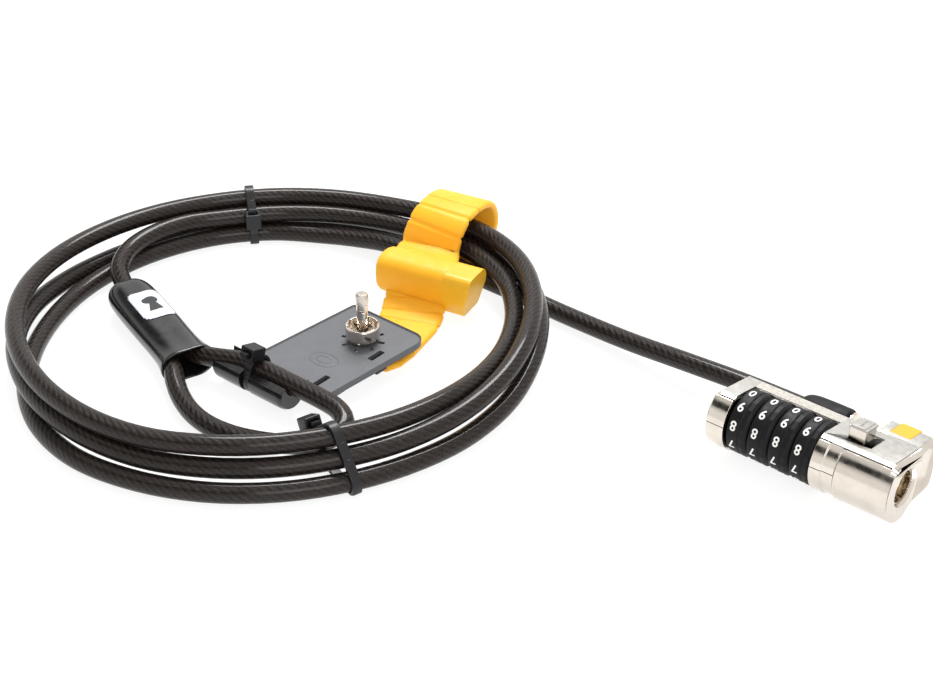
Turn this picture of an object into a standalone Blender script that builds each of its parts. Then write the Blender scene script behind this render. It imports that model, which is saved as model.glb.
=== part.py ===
"""Combination cable lock: a four-wheel lock head on a coiled steel cable, with its anchor on a carry card.

Metres, +Z up. The origin is on the floor under the middle of the lock head. The head lies along X, its key
end towards +X, rolled back until barrel and lug both touch the floor. HEAD_FRAME's own axes follow that
roll: its X runs along the barrel axis with 0 at the key end, Y goes to the lug, Z to the top plate.
"""

import math

import bmesh
import bpy
from mathutils import Vector

MM = 0.001
GAP = 0.3  # between solids that touch on the real object

# Lock head, in millimetres
HEAD_LENGTH = 52.5
HEAD_ROLL = -10.6
BARREL_RADIUS = 9.45
PLATE_TOP = 7.75
PLATE_THICKNESS = 1.0
CASE_TOP = PLATE_TOP - PLATE_THICKNESS - 0.1
BACK_Y = 8.1
BACK_BOTTOM_Z = -7.5
SPLIT_Z = -0.35
SEAM = 0.14
NOSE_LENGTH = 15.3
WINDOW = (-47.7, -22.1)
WINDOW_FRONT_Y = 3.4
LUG = {"x": (-13.9, -1.0), "back": 18.2, "bottom": -6.3}
HEAD_CENTRE_Y = -4.75

# Number wheels
WHEEL_COUNT = 4
WHEEL_AXIS_Z = -0.5
WHEEL_RADIUS = 8.75
WHEEL_WIDTH = 5.9
WHEEL_PITCH = 6.3
WHEEL_FIRST_X = -44.35
WHEEL_CLEARANCE = 0.35
HUB_RADIUS = 4.4
SPINDLE_RADIUS = 1.6

# Button, latch and key cylinder
BUTTON = {"x": (-16.6, -12.1), "y": (-2.6, 4.3), "top": 10.8}
BUTTON_TRAVEL = 2.0
KEY_BORE_RADIUS = 4.85
ANCHOR_SOCKET = {"x": -7.6, "z": 0.2, "radius": 5.0, "depth": 4.6}

# Cable and its swivel
CABLE_DIAMETER = 5.5
CABLE_RADIUS = CABLE_DIAMETER / 2
CABLE_FROM_HEAD_AXIS = 14.2
CABLE_Y = HEAD_CENTRE_Y + CABLE_FROM_HEAD_AXIS
CABLE_AXIS_Z = 9.35
PIVOT_X = -18.8
KNUCKLE = {"radius": 2.0, "z": (-1.9, 1.2), "boss_radius": 1.9, "boss": (-3.7, -1.6)}
PIVOT_PIN = {"radius": 0.8, "head_radius": 1.35, "head_height": 0.4, "foot": -3.6}
EAR = {"radius": 2.1, "z": (-2.9, -2.2), "root": -5.6}
SHANK = {"radius": 1.3, "end": -2.6}
FERRULE_FLANGE = (-4.9, -4.0)
BOOT = {"x": (-38.0, -24.0), "radius": 4.6}

# Coil, its turned outer shape
COIL_CENTRE = (-149.0, -48.0)
COIL_INNER = 60.0
COIL_OUTER = 79.0
COIL_BOTTOM = 2.5
COIL_TOP = 16.5
COIL_LEAN = 3.0

# Anchor and its card
ANCHOR_AT = (-126.1, -37.6)
CARD = {"x": (-141.0, -113.6), "y": (-63.5, -25.8), "z": (5.0, 7.0)}
GUTTER_Y = -68.4
GUTTER_Z = 8.3
POST_RADIUS = 1.55
POST_LENGTH = 14.5
POST_TIP = {"radius": 1.8, "length": 3.0}
CUP_RADIUS = 4.85

# Hand-chosen route points of the cable's free stretches, from one end to the other
HEAD_X = HEAD_LENGTH / 2
LEAD_ROUTE = [
    (HEAD_X - 24.0, CABLE_Y, CABLE_AXIS_Z),
    (HEAD_X - 32.0, CABLE_Y, CABLE_AXIS_Z),
    (HEAD_X - 40.0, CABLE_Y, CABLE_AXIS_Z),
    (HEAD_X - 57.0, 9.9, 8.7),
    (HEAD_X - 76.0, 10.7, 7.0),
    (HEAD_X - 96.5, 12.2, 4.6),
    (-93.0, 14.0, 3.0),
    (-108.0, 14.6, 2.85),
    (-121.0, 13.6, 3.6),
    (-134.0, 11.6, 5.3),
    (-147.0, 9.8, 5.4),
    (-158.4, 8.8, 5.3),
    (-169.0, 7.0, 4.0),
    (-180.0, 3.4, 2.85),
]
TAIL_ROUTE = [
    (-211.6, -26.5, 8.6),
    (-214.2, -37.5, 8.4),
    (-213.2, -47.5, 7.9),
    (-208.6, -55.6, 7.0),
    (-202.0, -60.0, 6.2),
    (-196.0, -62.6, 5.8),
]
EYE_ROUTE = [
    (-158.0, -81.2, 5.2),
    (-153.2, -84.2, 4.5),
    (-147.5, -87.4, 3.6),
    (-140.5, -90.0, 3.1),
    (-133.0, -91.2, 3.05),
    (-125.0, -90.6, 3.2),
    (-117.6, -88.5, 3.5),
    (-110.4, -85.6, 4.2),
    (-103.6, -81.4, 5.2),
    (-100.2, -76.2, 6.4),
    (-101.6, -71.4, 7.5),
    (-106.4, -68.9, 8.1),
    (-113.0, -68.4, 8.3),
    (-122.0, -68.4, 8.3),
    (-133.5, -68.4, 8.3),
    (-142.5, -68.8, 8.1),
    (-150.5, -71.0, 7.0),
    (-157.0, -73.0, 5.8),
]
SLEEVE_ENDS = ((-199.5, -61.6, 5.8), (-156.0, -76.2, 5.0))
SLEEVE_HALF_WIDTH = 7.2
SLEEVE_HALF_HEIGHT = 4.4


def clear_scene():
    for obj in list(bpy.data.objects):
        bpy.data.objects.remove(obj, do_unlink=True)


def make_material(name, colour, roughness, metallic):
    material = bpy.data.materials.new(name)
    material.use_nodes = True
    shader = material.node_tree.nodes["Principled BSDF"]
    shader.inputs["Base Color"].default_value = (*colour, 1.0)
    shader.inputs["Roughness"].default_value = roughness
    shader.inputs["Metallic"].default_value = metallic
    return material


MATERIALS = {
    "nickel": make_material("nickel", (0.78, 0.75, 0.71), 0.22, 1.0),
    "satin": make_material("satin", (0.60, 0.59, 0.57), 0.45, 1.0),
    "steel": make_material("steel", (0.55, 0.55, 0.55), 0.35, 1.0),
    "brass": make_material("brass", (0.72, 0.55, 0.28), 0.30, 1.0),
    "black": make_material("black", (0.02, 0.02, 0.022), 0.45, 0.0),
    "jacket": make_material("jacket", (0.035, 0.028, 0.026), 0.20, 0.0),
    "yellow": make_material("yellow", (0.95, 0.55, 0.04), 0.50, 0.0),
    "grey": make_material("grey", (0.16, 0.16, 0.17), 0.50, 0.0),
}


def add_empty(name, location, parent=None, roll=0.0):
    empty = bpy.data.objects.new(name, None)
    empty.location = [value * MM for value in location]
    empty.rotation_euler.x = math.radians(roll)
    empty.parent = parent
    bpy.context.scene.collection.objects.link(empty)
    return empty


def add_solid(name, mesh_maker, material, parent=None, location=(0, 0, 0), turn_z=0.0):
    """One object from a bmesh made in millimetres, its origin at location in its parent's frame."""
    bmesh.ops.recalc_face_normals(mesh_maker, faces=mesh_maker.faces)
    bmesh.ops.scale(mesh_maker, vec=(MM, MM, MM), verts=mesh_maker.verts)
    mesh = bpy.data.meshes.new(name)
    mesh_maker.to_mesh(mesh)
    mesh_maker.free()
    mesh.shade_smooth()
    mesh.set_sharp_from_angle(angle=math.radians(35))
    obj = bpy.data.objects.new(name, mesh)
    obj.location = [value * MM for value in location]
    obj.rotation_euler.z = math.radians(turn_z)
    obj.parent = parent
    obj.data.materials.append(MATERIALS[material])
    bpy.context.scene.collection.objects.link(obj)
    return obj


def add_cutter(name, mesh_maker, parent=None, location=(0, 0, 0), turn_z=0.0):
    cutter = add_solid(name, mesh_maker, "steel", parent, location, turn_z)
    cutter.hide_render = True
    cutter.display_type = "WIRE"
    return cutter


def boolean(target, other, operation):
    modifier = target.modifiers.new(other.name, "BOOLEAN")
    modifier.operation = operation
    modifier.object = other
    modifier.solver = "EXACT"


def cut(target, *cutters):
    for cutter in cutters:
        boolean(target, cutter, "DIFFERENCE")


def prism(outline, low, high, axis="X"):
    """Extrudes a closed outline: (y, z) along X, (x, z) along Y or (x, y) along Z."""
    place = {
        "X": lambda a, b, c: (c, a, b),
        "Y": lambda a, b, c: (a, c, b),
        "Z": lambda a, b, c: (a, b, c),
    }[axis]
    bm = bmesh.new()
    ends = [[bm.verts.new(place(a, b, level)) for a, b in outline] for level in (low, high)]
    bm.faces.new(ends[0])
    bm.faces.new(ends[1])
    count = len(outline)
    for i in range(count):
        j = (i + 1) % count
        bm.faces.new((ends[0][i], ends[0][j], ends[1][j], ends[1][i]))
    return bm


def box(x, y, z):
    return prism([(x[0], y[0]), (x[1], y[0]), (x[1], y[1]), (x[0], y[1])], z[0], z[1], "Z")


def arc(centre, radius, start, end, steps):
    """Points on a circle from one angle to another, in degrees."""
    angles = [math.radians(start + (end - start) * i / steps) for i in range(steps + 1)]
    return [(centre[0] + radius * math.cos(a), centre[1] + radius * math.sin(a)) for a in angles]


def rounded_rectangle(x, y, radius, steps=3):
    corners = ((x[1], y[1], 0), (x[0], y[1], 90), (x[0], y[0], 180), (x[1], y[0], 270))
    points = []
    for corner_x, corner_y, start in corners:
        centre = (
            corner_x - math.copysign(radius, corner_x - sum(x) / 2),
            corner_y - math.copysign(radius, corner_y - sum(y) / 2),
        )
        points += arc(centre, radius, start, start + 90, steps)
    return points


def turned(profile, steps, axis="X", centre=(0.0, 0.0)):
    """Turns a closed profile of (along, radius) points about an axis. A radius of 0 closes on the axis."""
    place = {
        "X": lambda along, a, b: (along, centre[0] + a, centre[1] + b),
        "Y": lambda along, a, b: (centre[0] + a, along, centre[1] + b),
        "Z": lambda along, a, b: (centre[0] + a, centre[1] + b, along),
    }[axis]
    bm = bmesh.new()
    rings = []
    for along, radius in profile:
        if radius == 0:
            rings.append([bm.verts.new(place(along, 0.0, 0.0))])
            continue
        angles = [math.tau * i / steps for i in range(steps)]
        rings.append([bm.verts.new(place(along, radius * math.cos(a), radius * math.sin(a))) for a in angles])
    for first, second in zip(rings, rings[1:] + rings[:1]):
        if len(first) == 1 and len(second) == 1:
            continue
        for i in range(steps):
            j = (i + 1) % steps
            corners = [first[i % len(first)], first[j % len(first)]]
            corners += [second[j % len(second)], second[i % len(second)]]
            bm.faces.new(list(dict.fromkeys(corners)))
    return bm


def rod(low, high, radius, steps=24, axis="X", centre=(0.0, 0.0)):
    return turned([(low, 0), (low, radius), (high, radius), (high, 0)], steps, axis, centre)


def ring(low, high, inner, outer, steps=32, axis="X", centre=(0.0, 0.0)):
    return turned([(low, inner), (low, outer), (high, outer), (high, inner)], steps, axis, centre)


def smooth_route(points, spacing):
    """Points at an even spacing on the smooth curve through the route's own points (centripetal spline)."""
    knots = [Vector(p) for p in points]
    knots = [knots[0] * 2 - knots[1], *knots, knots[-1] * 2 - knots[-2]]
    dense = []
    for before, start, end, after in zip(knots, knots[1:], knots[2:], knots[3:]):
        for i in range(12):
            dense.append(catmull_rom(before, start, end, after, i / 12))
    dense.append(knots[-2])
    even = [dense[0]]
    walked = 0.0
    for first, second in zip(dense, dense[1:]):
        walked += (second - first).length
        if walked >= spacing:
            even.append(second)
            walked = 0.0
    if (even[-1] - dense[-1]).length < spacing / 2:
        even.pop()
    even.append(dense[-1])
    return even


def catmull_rom(before, start, end, after, t):
    return 0.5 * (
        2 * start
        + (end - before) * t
        + (2 * before - 5 * start + 4 * end - after) * t**2
        + (3 * start - before - 3 * end + after) * t**3
    )


def cable_tube(name, route, radius, material="jacket"):
    """A plain round tube along the smooth curve through a route."""
    points = smooth_route(route, 2.2 * CABLE_DIAMETER)
    curve = bpy.data.curves.new(name, "CURVE")
    curve.dimensions = "3D"
    spline = curve.splines.new("POLY")
    spline.points.add(len(points) - 1)
    for spline_point, point in zip(spline.points, points):
        spline_point.co = (*(point * MM), 1.0)
    curve.bevel_depth = radius * MM
    curve.bevel_resolution = 2
    curve.use_fill_caps = True
    obj = bpy.data.objects.new(name, curve)
    obj.data.materials.append(MATERIALS[material])
    bpy.context.scene.collection.objects.link(obj)
    return obj


def route_cutter(name, route):
    """The space that a cable needs: its tube with a gap all round, as a mesh that a Boolean can take."""
    points = smooth_route(route, 2.2 * CABLE_DIAMETER)
    start_step = (points[0] - points[1]).normalized() * 2 * GAP
    end_step = (points[-1] - points[-2]).normalized() * 2 * GAP
    points = [points[0] + start_step, *points[1:-1], points[-1] + end_step]
    bm = bmesh.new()
    sides = 12
    rings = []
    for i, point in enumerate(points):
        ahead = points[min(i + 1, len(points) - 1)] - points[max(i - 1, 0)]
        across = ahead.cross(Vector((0, 0, 1))).normalized()
        up = across.cross(ahead).normalized()
        radius = (CABLE_RADIUS + GAP) / math.cos(math.pi / sides)
        round_here = []
        for k in range(sides):
            angle = math.tau * k / sides
            outward = across * math.cos(angle) + up * math.sin(angle)
            round_here.append(bm.verts.new(point + radius * outward))
        rings.append(round_here)
    for first, second in zip(rings, rings[1:]):
        for i in range(sides):
            j = (i + 1) % sides
            bm.faces.new((first[i], first[j], second[j], second[i]))
    bm.faces.new(rings[0])
    bm.faces.new(rings[-1])
    return add_cutter(name, bm)


def band(outline, thickness, width):
    """A flat strap closed round an outline of (across, up) points, its width along X."""
    count = len(outline)
    outer = []
    for i in range(count):
        before = Vector(outline[i - 1])
        here = Vector(outline[i])
        after = Vector(outline[(i + 1) % count])
        along = (after - before).normalized()
        outer.append(here + Vector((along.y, -along.x)) * thickness)
    bm = bmesh.new()
    loops = []
    half = width / 2
    for shape, level in ((outline, -half), (outer, -half), (outer, half), (outline, half)):
        loops.append([bm.verts.new((level, p[0], p[1])) for p in shape])
    for first, second in zip(loops, loops[1:] + loops[:1]):
        for i in range(count):
            j = (i + 1) % count
            bm.faces.new((first[i], first[j], second[j], second[i]))
    return bm


# ---------------------------------------------------------------- lock head

clear_scene()

SPIN_AXIS = add_empty("cable_spin_axis", (HEAD_X + PIVOT_X, CABLE_Y, CABLE_AXIS_Z))
PIVOT_AXIS = add_empty("cable_pivot_axis", (0, 0, 0), SPIN_AXIS)
HEAD_AXIS = (-PIVOT_X, -CABLE_FROM_HEAD_AXIS, BARREL_RADIUS - CABLE_AXIS_Z)
HEAD_FRAME = add_empty("head_frame", HEAD_AXIS, PIVOT_AXIS, HEAD_ROLL)


def case_outline(low, high):
    """The case's section between two heights: round in front and below, flat on top and at the back."""
    start = 180 - math.degrees(math.asin(high / BARREL_RADIUS))
    end = 284 if low < SPLIT_Z else 180 - math.degrees(math.asin(low / BARREL_RADIUS))
    return [(BACK_Y, high), *arc((0, 0), BARREL_RADIUS, start, end, 12), (BACK_Y, low)]


def wheel_window():
    """What the wheels turn in: a round cavity that opens to the front and below."""
    angle = math.degrees(math.acos(WINDOW_FRONT_Y / (WHEEL_RADIUS + WHEEL_CLEARANCE)))
    outline = arc((0, WHEEL_AXIS_Z), WHEEL_RADIUS + WHEEL_CLEARANCE, -angle, angle, 18)
    outline += [(WINDOW_FRONT_Y, 14), (-14, 14), (-14, -14), (WINDOW_FRONT_Y, -14)]
    return prism(outline, *WINDOW)


def make_case():
    window = add_cutter("window_cutter", wheel_window(), HEAD_FRAME)
    spindle_bore = add_cutter(
        "spindle_bore_cutter",
        rod(-51.6, -15.0, SPINDLE_RADIUS + 0.15, 20, centre=(0, WHEEL_AXIS_Z)),
        HEAD_FRAME,
    )
    channel = add_cutter("latch_channel_cutter", box((-17.1, -1.9), (-3.2, 5.0), (5.1, 9.0)), HEAD_FRAME)
    halves = {
        "upper_case": case_outline(SPLIT_Z + SEAM / 2, CASE_TOP),
        "lower_case": case_outline(BACK_BOTTOM_Z, SPLIT_Z - SEAM / 2),
    }
    screws = []
    for i, at in enumerate(SCREWS):
        screws.append(add_cutter(f"screw_cutter_{i + 1}", screw_shape(0.15), HEAD_FRAME, at))
    for name, outline in halves.items():
        half = add_solid(name, prism(outline, -HEAD_LENGTH, -NOSE_LENGTH - SEAM), "nickel", HEAD_FRAME)
        cut(half, window, spindle_bore, *screws)
        if name == "upper_case":
            cut(half, channel)
    make_top_plate(window)
    return channel


SCREWS = ((-50.1, 5.4, -8.0), (-18.7, 5.4, -8.0))


def screw_shape(extra):
    """A cap screw standing on its head."""
    low = -2.0 if extra else 0.0
    profile = [(low, 0), (low, 1.45 + extra), (1.4 + extra, 1.45 + extra), (1.4 + extra, 0.8 + extra)]
    profile += [(11.0 + extra, 0.8 + extra), (11.0 + extra, 0)]
    return turned(profile, 16, "Z")


def make_screws():
    for i, at in enumerate(SCREWS):
        add_solid(f"case_screw_{i + 1}", screw_shape(0.0), "steel", HEAD_FRAME, at)


def make_top_plate(window):
    """The flat top from end to end, with a sloped front edge and the hole that the button slides in."""
    low = PLATE_TOP - PLATE_THICKNESS
    outline = [(BACK_Y, low), (BACK_Y, PLATE_TOP), (-4.8, PLATE_TOP), (-6.2, low + 0.15), (-6.2, low)]
    plate = add_solid("top_plate", prism(outline, -HEAD_LENGTH + 0.4, -1.9), "satin", HEAD_FRAME)
    hole = box((BUTTON["x"][0] - 0.3, BUTTON["x"][1] + BUTTON_TRAVEL + 0.3), (-3.0, 4.7), (5.0, 9.0))
    cut(plate, window, add_cutter("button_hole_cutter", hole, HEAD_FRAME))


def make_nose(channel):
    """Key end of the head: the round barrel and, behind it, the lug that takes the anchor."""
    barrel = prism(case_outline(BACK_BOTTOM_Z, CASE_TOP), -NOSE_LENGTH, 0)
    end_edges = [e for e in barrel.edges if all(abs(v.co.x) < 1e-6 for v in e.verts)]
    bmesh.ops.bevel(barrel, geom=end_edges, offset=1.7, segments=3, profile=0.5, affect="EDGES")
    nose = add_solid("nose_housing", barrel, "nickel", HEAD_FRAME)
    back = LUG["back"]
    bottom = LUG["bottom"]
    lug_outline = [(BACK_Y + 0.15, PLATE_TOP)]
    lug_outline += reversed(arc((back - 2.0, PLATE_TOP - 2.0), 2.0, 0, 90, 3))
    lug_outline += reversed(arc((back - 2.0, bottom + 2.0), 2.0, 285, 360, 3))
    lug_outline += [(3.0, -8.6), (3.0, CASE_TOP - 1.0), (BACK_Y + 0.15, CASE_TOP - 1.0)]
    lug_mesh = prism(lug_outline, *LUG["x"])
    lug = add_cutter("lug_block", lug_mesh, HEAD_FRAME)
    boolean(nose, lug, "UNION")
    socket = ANCHOR_SOCKET
    at = (socket["x"], socket["z"])
    cutters = {
        "key_bore_cutter": rod(-16.0, 1.0, KEY_BORE_RADIUS, 32),
        "socket_cutter": rod(back - socket["depth"], back + 2, socket["radius"] + 0.6, 32, "Y", at),
        "post_bore_cutter": rod(6.6, back, 2.2, 20, "Y", at),
        "latch_arm_cutter": box((-12.6, -1.9), (4.0, 10.0), (5.1, 6.75)),
        "latch_jaw_cutter": box((-6.5, -1.9), (8.3, 10.0), (-2.2, 6.0)),
        "insert_cutter": box((-11.65, -5.6), (10.15, 17.65), (6.7, 9.0)),
    }
    cut(nose, channel)
    cut(nose, *[add_cutter(name, shape, HEAD_FRAME) for name, shape in cutters.items()])
    add_solid("lug_insert", box((-11.5, -5.75), (10.3, 17.5), (6.85, 7.9)), "yellow", HEAD_FRAME)
    inner = socket["radius"]
    sleeve = ring(back - socket["depth"] + 0.15, back - 0.2, inner, inner + 0.45, 32, "Y", at)
    add_solid("socket_sleeve", sleeve, "steel", HEAD_FRAME)


def make_wheels():
    """Each number wheel turns on its own hub, with a spring washer between neighbours."""
    half = WHEEL_WIDTH / 2
    rim = WHEEL_RADIUS
    shape = [(-half, 4.7), (-half, rim - 0.5), (-half + 0.5, rim)]
    shape += [(half - 0.5, rim), (half, rim - 0.5), (half, 4.7)]
    hub = [(-2.3, 1.9), (-2.3, 3.2), (-1.5, 3.2), (-1.5, HUB_RADIUS), (2.3, HUB_RADIUS), (2.3, 1.9)]
    for i in range(WHEEL_COUNT):
        at = (WHEEL_FIRST_X + i * WHEEL_PITCH, 0, WHEEL_AXIS_Z)
        add_solid(f"number_wheel_{i + 1}", turned(shape, 40), "black", HEAD_FRAME, at)
        add_solid(f"wheel_hub_{i + 1}", turned(hub, 24), "brass", HEAD_FRAME, at)
        washer_at = (at[0] - half + 0.25, 0, WHEEL_AXIS_Z)
        add_solid(f"detent_washer_{i + 1}", ring(-0.2, 0.1, 1.9, 4.2, 24), "steel", HEAD_FRAME, washer_at)
    spindle = rod(-51.3, -15.9, SPINDLE_RADIUS, 20)
    add_solid("wheel_spindle", spindle, "steel", HEAD_FRAME, (0, 0, WHEEL_AXIS_Z))


def make_button():
    """The button stands on the latch slide, whose jaw reaches round the anchor post's bore."""
    x = BUTTON["x"]
    shape = box(x, BUTTON["y"], (6.7, BUTTON["top"]))
    top_edges = [e for e in shape.edges if all(v.co.z > 9 for v in e.verts)]
    bmesh.ops.bevel(shape, geom=top_edges, offset=0.5, segments=2, profile=0.5, affect="EDGES")
    add_solid("release_button", shape, "nickel", HEAD_FRAME)
    arm = [(-16.2, -2.2), (-12.4, -2.2), (-12.4, 4.1), (-4.2, 4.1), (-4.2, 9.8)]
    arm += [(-6.0, 9.8), (-6.0, 6.0), (-12.2, 6.0), (-12.2, 4.6), (-16.2, 4.6)]
    slide = add_solid("latch_slide", prism(arm, 5.4, 6.4, "Z"), "steel", HEAD_FRAME)
    boolean(slide, add_cutter("jaw_block", box((-6.0, -4.2), (8.6, 9.8), (-1.6, 5.9)), HEAD_FRAME), "UNION")
    turns = 7
    helix = []
    for i in range(turns * 10 + 1):
        angle = math.tau * i / 10
        along = -12.0 + 8.4 * i / (turns * 10)
        helix.append((along, 1.0 + 0.75 * math.cos(angle), 5.95 + 0.55 * math.sin(angle)))
    spring = bpy.data.curves.new("button_spring", "CURVE")
    spring.dimensions = "3D"
    spline = spring.splines.new("POLY")
    spline.points.add(len(helix) - 1)
    for spline_point, point in zip(spline.points, helix):
        spline_point.co = (*(Vector(point) * MM), 1.0)
    spring.bevel_depth = 0.14 * MM
    spring.bevel_resolution = 1
    spring.use_fill_caps = True
    obj = bpy.data.objects.new("button_spring", spring)
    obj.parent = HEAD_FRAME
    obj.data.materials.append(MATERIALS["steel"])
    bpy.context.scene.collection.objects.link(obj)


def make_key_cylinder():
    """Override lock in the nose: a fixed sleeve, the plug that turns in it and the clip that holds it."""
    add_solid("cylinder_sleeve", ring(-13.0, -0.9, 4.4, 4.75, 32), "nickel", HEAD_FRAME)
    profile = [(-14.9, 0), (-14.9, 4.1), (-14.2, 4.1), (-14.2, 3.3)]
    profile += [(-13.3, 3.3), (-13.3, 4.1), (-2.2, 4.1), (-2.2, 0)]
    plug = add_solid("key_plug", turned(profile, 32), "brass", HEAD_FRAME)
    cut(plug, add_cutter("keyway_cutter", box((-6.5, -1.0), (-0.6, 0.6), (-2.9, 2.9)), HEAD_FRAME))
    add_solid("plug_clip", ring(-14.0, -13.5, 3.5, 4.6, 24), "steel", HEAD_FRAME)


# ---------------------------------------------------------------- swivel, at rest square to the floor


def make_swivel():
    """A low ear on the head holds an upright pin for the knuckle, and the cable's ferrule turns in that."""
    pin = PIVOT_PIN
    low, high = KNUCKLE["z"]
    pin_hole = add_cutter("pin_hole_cutter", rod(-9, 9, pin["radius"] + 0.2, 16, "Z"), PIVOT_AXIS)
    foot = box((PIVOT_X - 3.3, PIVOT_X + 3.3), (BACK_Y + GAP, BACK_Y + 1.4), (-4.0, 5.0))
    bracket = add_solid("swivel_bracket", foot, "nickel", HEAD_FRAME)
    radius = EAR["radius"]
    outline = [(-radius, EAR["root"]), (radius, EAR["root"]), *arc((0, 0), radius, 0, 180, 8)]
    boolean(bracket, add_cutter("swivel_ear", prism(outline, *EAR["z"], "Z"), PIVOT_AXIS), "UNION")
    cut(bracket, pin_hole)
    knuckle = add_solid("swivel_knuckle", rod(low, high, KNUCKLE["radius"], 24, "Z"), "steel", SPIN_AXIS)
    boss = rod(*KNUCKLE["boss"], KNUCKLE["boss_radius"])
    boolean(knuckle, add_cutter("knuckle_boss", boss, SPIN_AXIS), "UNION")
    head_seat = rod(high - 0.6, high + 1.0, pin["head_radius"] + 0.2, 24, "Z")
    shank_bore = rod(-6, SHANK["end"] + 0.2, SHANK["radius"] + 0.2, 20)
    cut(knuckle, pin_hole, add_cutter("pin_head_cutter", head_seat, SPIN_AXIS))
    cut(knuckle, add_cutter("shank_cutter", shank_bore, SPIN_AXIS))
    top = high - 0.05
    neck = top - pin["head_height"]
    pin_shape = [(pin["foot"], 0), (pin["foot"], pin["radius"]), (neck, pin["radius"])]
    pin_shape += [(neck, pin["head_radius"]), (top, pin["head_radius"]), (top, 0)]
    add_solid("pivot_pin", turned(pin_shape, 16, "Z"), "steel", PIVOT_AXIS)
    low, high = FERRULE_FLANGE
    end, radius = SHANK["end"], SHANK["radius"]
    shank = [(end, 0), (end, radius), (high, radius), (high, 4.2), (low, 4.2), (low, 0)]
    add_solid("cable_ferrule", turned(shank, 24), "nickel", SPIN_AXIS)
    x = [value - PIVOT_X for value in BOOT["x"]]
    radius = BOOT["radius"]
    bore = CABLE_RADIUS + GAP
    boot = [(x[1], bore), (x[1], radius - 0.6), (x[1] - 0.6, radius), (x[0] + 4.0, radius)]
    boot += [(x[0] + 1.4, radius - 0.8), (x[0], radius - 1.1), (x[0], bore)]
    add_solid("cable_boot", turned(boot, 24), "black", SPIN_AXIS)


# ---------------------------------------------------------------- cable, its coil and what is on it


def make_cable():
    """The free stretches as plain tubes, and the coil as its turned outer shape with room for the tubes."""
    cable_tube("cable_lead", LEAD_ROUTE, CABLE_RADIUS)
    cable_tube("cable_tail", TAIL_ROUTE, CABLE_RADIUS)
    cable_tube("cable_eye", EYE_ROUTE, CABLE_RADIUS)
    low = COIL_BOTTOM
    high = COIL_TOP
    profile = [(low, COIL_INNER + 2), (low, COIL_OUTER - COIL_LEAN - 2), (low + 4, COIL_OUTER - 0.5)]
    profile += [(high - 4, COIL_OUTER), (high, COIL_OUTER - 3), (high, COIL_INNER + COIL_LEAN + 2)]
    profile += [(high - 4, COIL_INNER + 0.5), (low + 3, COIL_INNER)]
    coil = add_solid("cable_coil", turned(profile, 64, "Z"), "jacket", None, (*COIL_CENTRE, 0))
    cut(coil, route_cutter("lead_cutter", LEAD_ROUTE[5:]), route_cutter("tail_cutter", TAIL_ROUTE))


def coil_place(angle):
    """A point on the middle of the coil's ring, and the turn that sets X along the ring there."""
    middle = (COIL_INNER + COIL_OUTER) / 2
    turn = math.radians(angle)
    return (COIL_CENTRE[0] + middle * math.cos(turn), COIL_CENTRE[1] + middle * math.sin(turn), 0), angle - 90


def make_tie(name, outline, at, turn, head):
    tie = add_solid(name, band(outline, 1.2, 2.8), "black", None, at, turn)
    block = add_cutter(f"{name}_head", box((-2.3, 2.3), *head), None, at, turn)
    boolean(tie, block, "UNION")


def make_ties():
    """Three cable ties: two round the coil and one round the eye and the card's gutter."""
    half = (COIL_OUTER - COIL_INNER) / 2 + GAP
    around = rounded_rectangle((-half, half), (1.5, COIL_TOP + GAP), 3.0)
    at, turn = coil_place(141)
    make_tie("cable_tie_back", around, at, turn, ((-half - 4.4, -half - 0.4), (6.0, 10.6)))
    top = COIL_TOP + GAP
    around = [(half - 3, 1.5), (half, 4.5), (half, top - 3), (half - 3, top), (-half + 2, top)]
    around += [(-half - 10.0, 11.4), (-half - 12.0, 9.0), (-half - 12.0, 3.0), (-half - 10.5, 1.5)]
    at, turn = coil_place(327)
    make_tie("cable_tie_front", around, at, turn, ((-half - 5.4, -half - 0.8), (12.2, 17.2)))
    gutter = arc((0, 0), 4.85, 0, 337.5, 15)
    make_tie("cable_tie_card", gutter, (-137.0, GUTTER_Y, GUTTER_Z), 0, ((-1.6, 3.2), (5.2, 9.2)))


def make_sleeve():
    """Crimp sleeve: a flattened tube over two runs of the cable that close the eye."""
    start, end = (Vector(p) for p in SLEEVE_ENDS)
    along = end - start
    turn = math.degrees(math.atan2(along.y, along.x))
    lift = along.z / along.xy.length
    length = along.xy.length
    radius = SLEEVE_HALF_HEIGHT
    flat = SLEEVE_HALF_WIDTH - radius
    outline = arc((flat, 0), radius, -90, 90, 8) + arc((-flat, 0), radius, 90, 270, 8)
    shape = prism(outline, 0, length)
    ends = [e for e in shape.edges if len({round(v.co.x, 4) for v in e.verts}) == 1]
    bmesh.ops.bevel(shape, geom=ends, offset=1.2, segments=2, profile=0.5, affect="EDGES")
    for vert in shape.verts:
        vert.co.z += lift * vert.co.x
    sleeve = add_solid("crimp_sleeve", shape, "black", None, tuple(start), turn)
    cut(sleeve, bpy.data.objects["tail_cutter"])
    cut(sleeve, route_cutter("eye_cutter", EYE_ROUTE))


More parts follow.
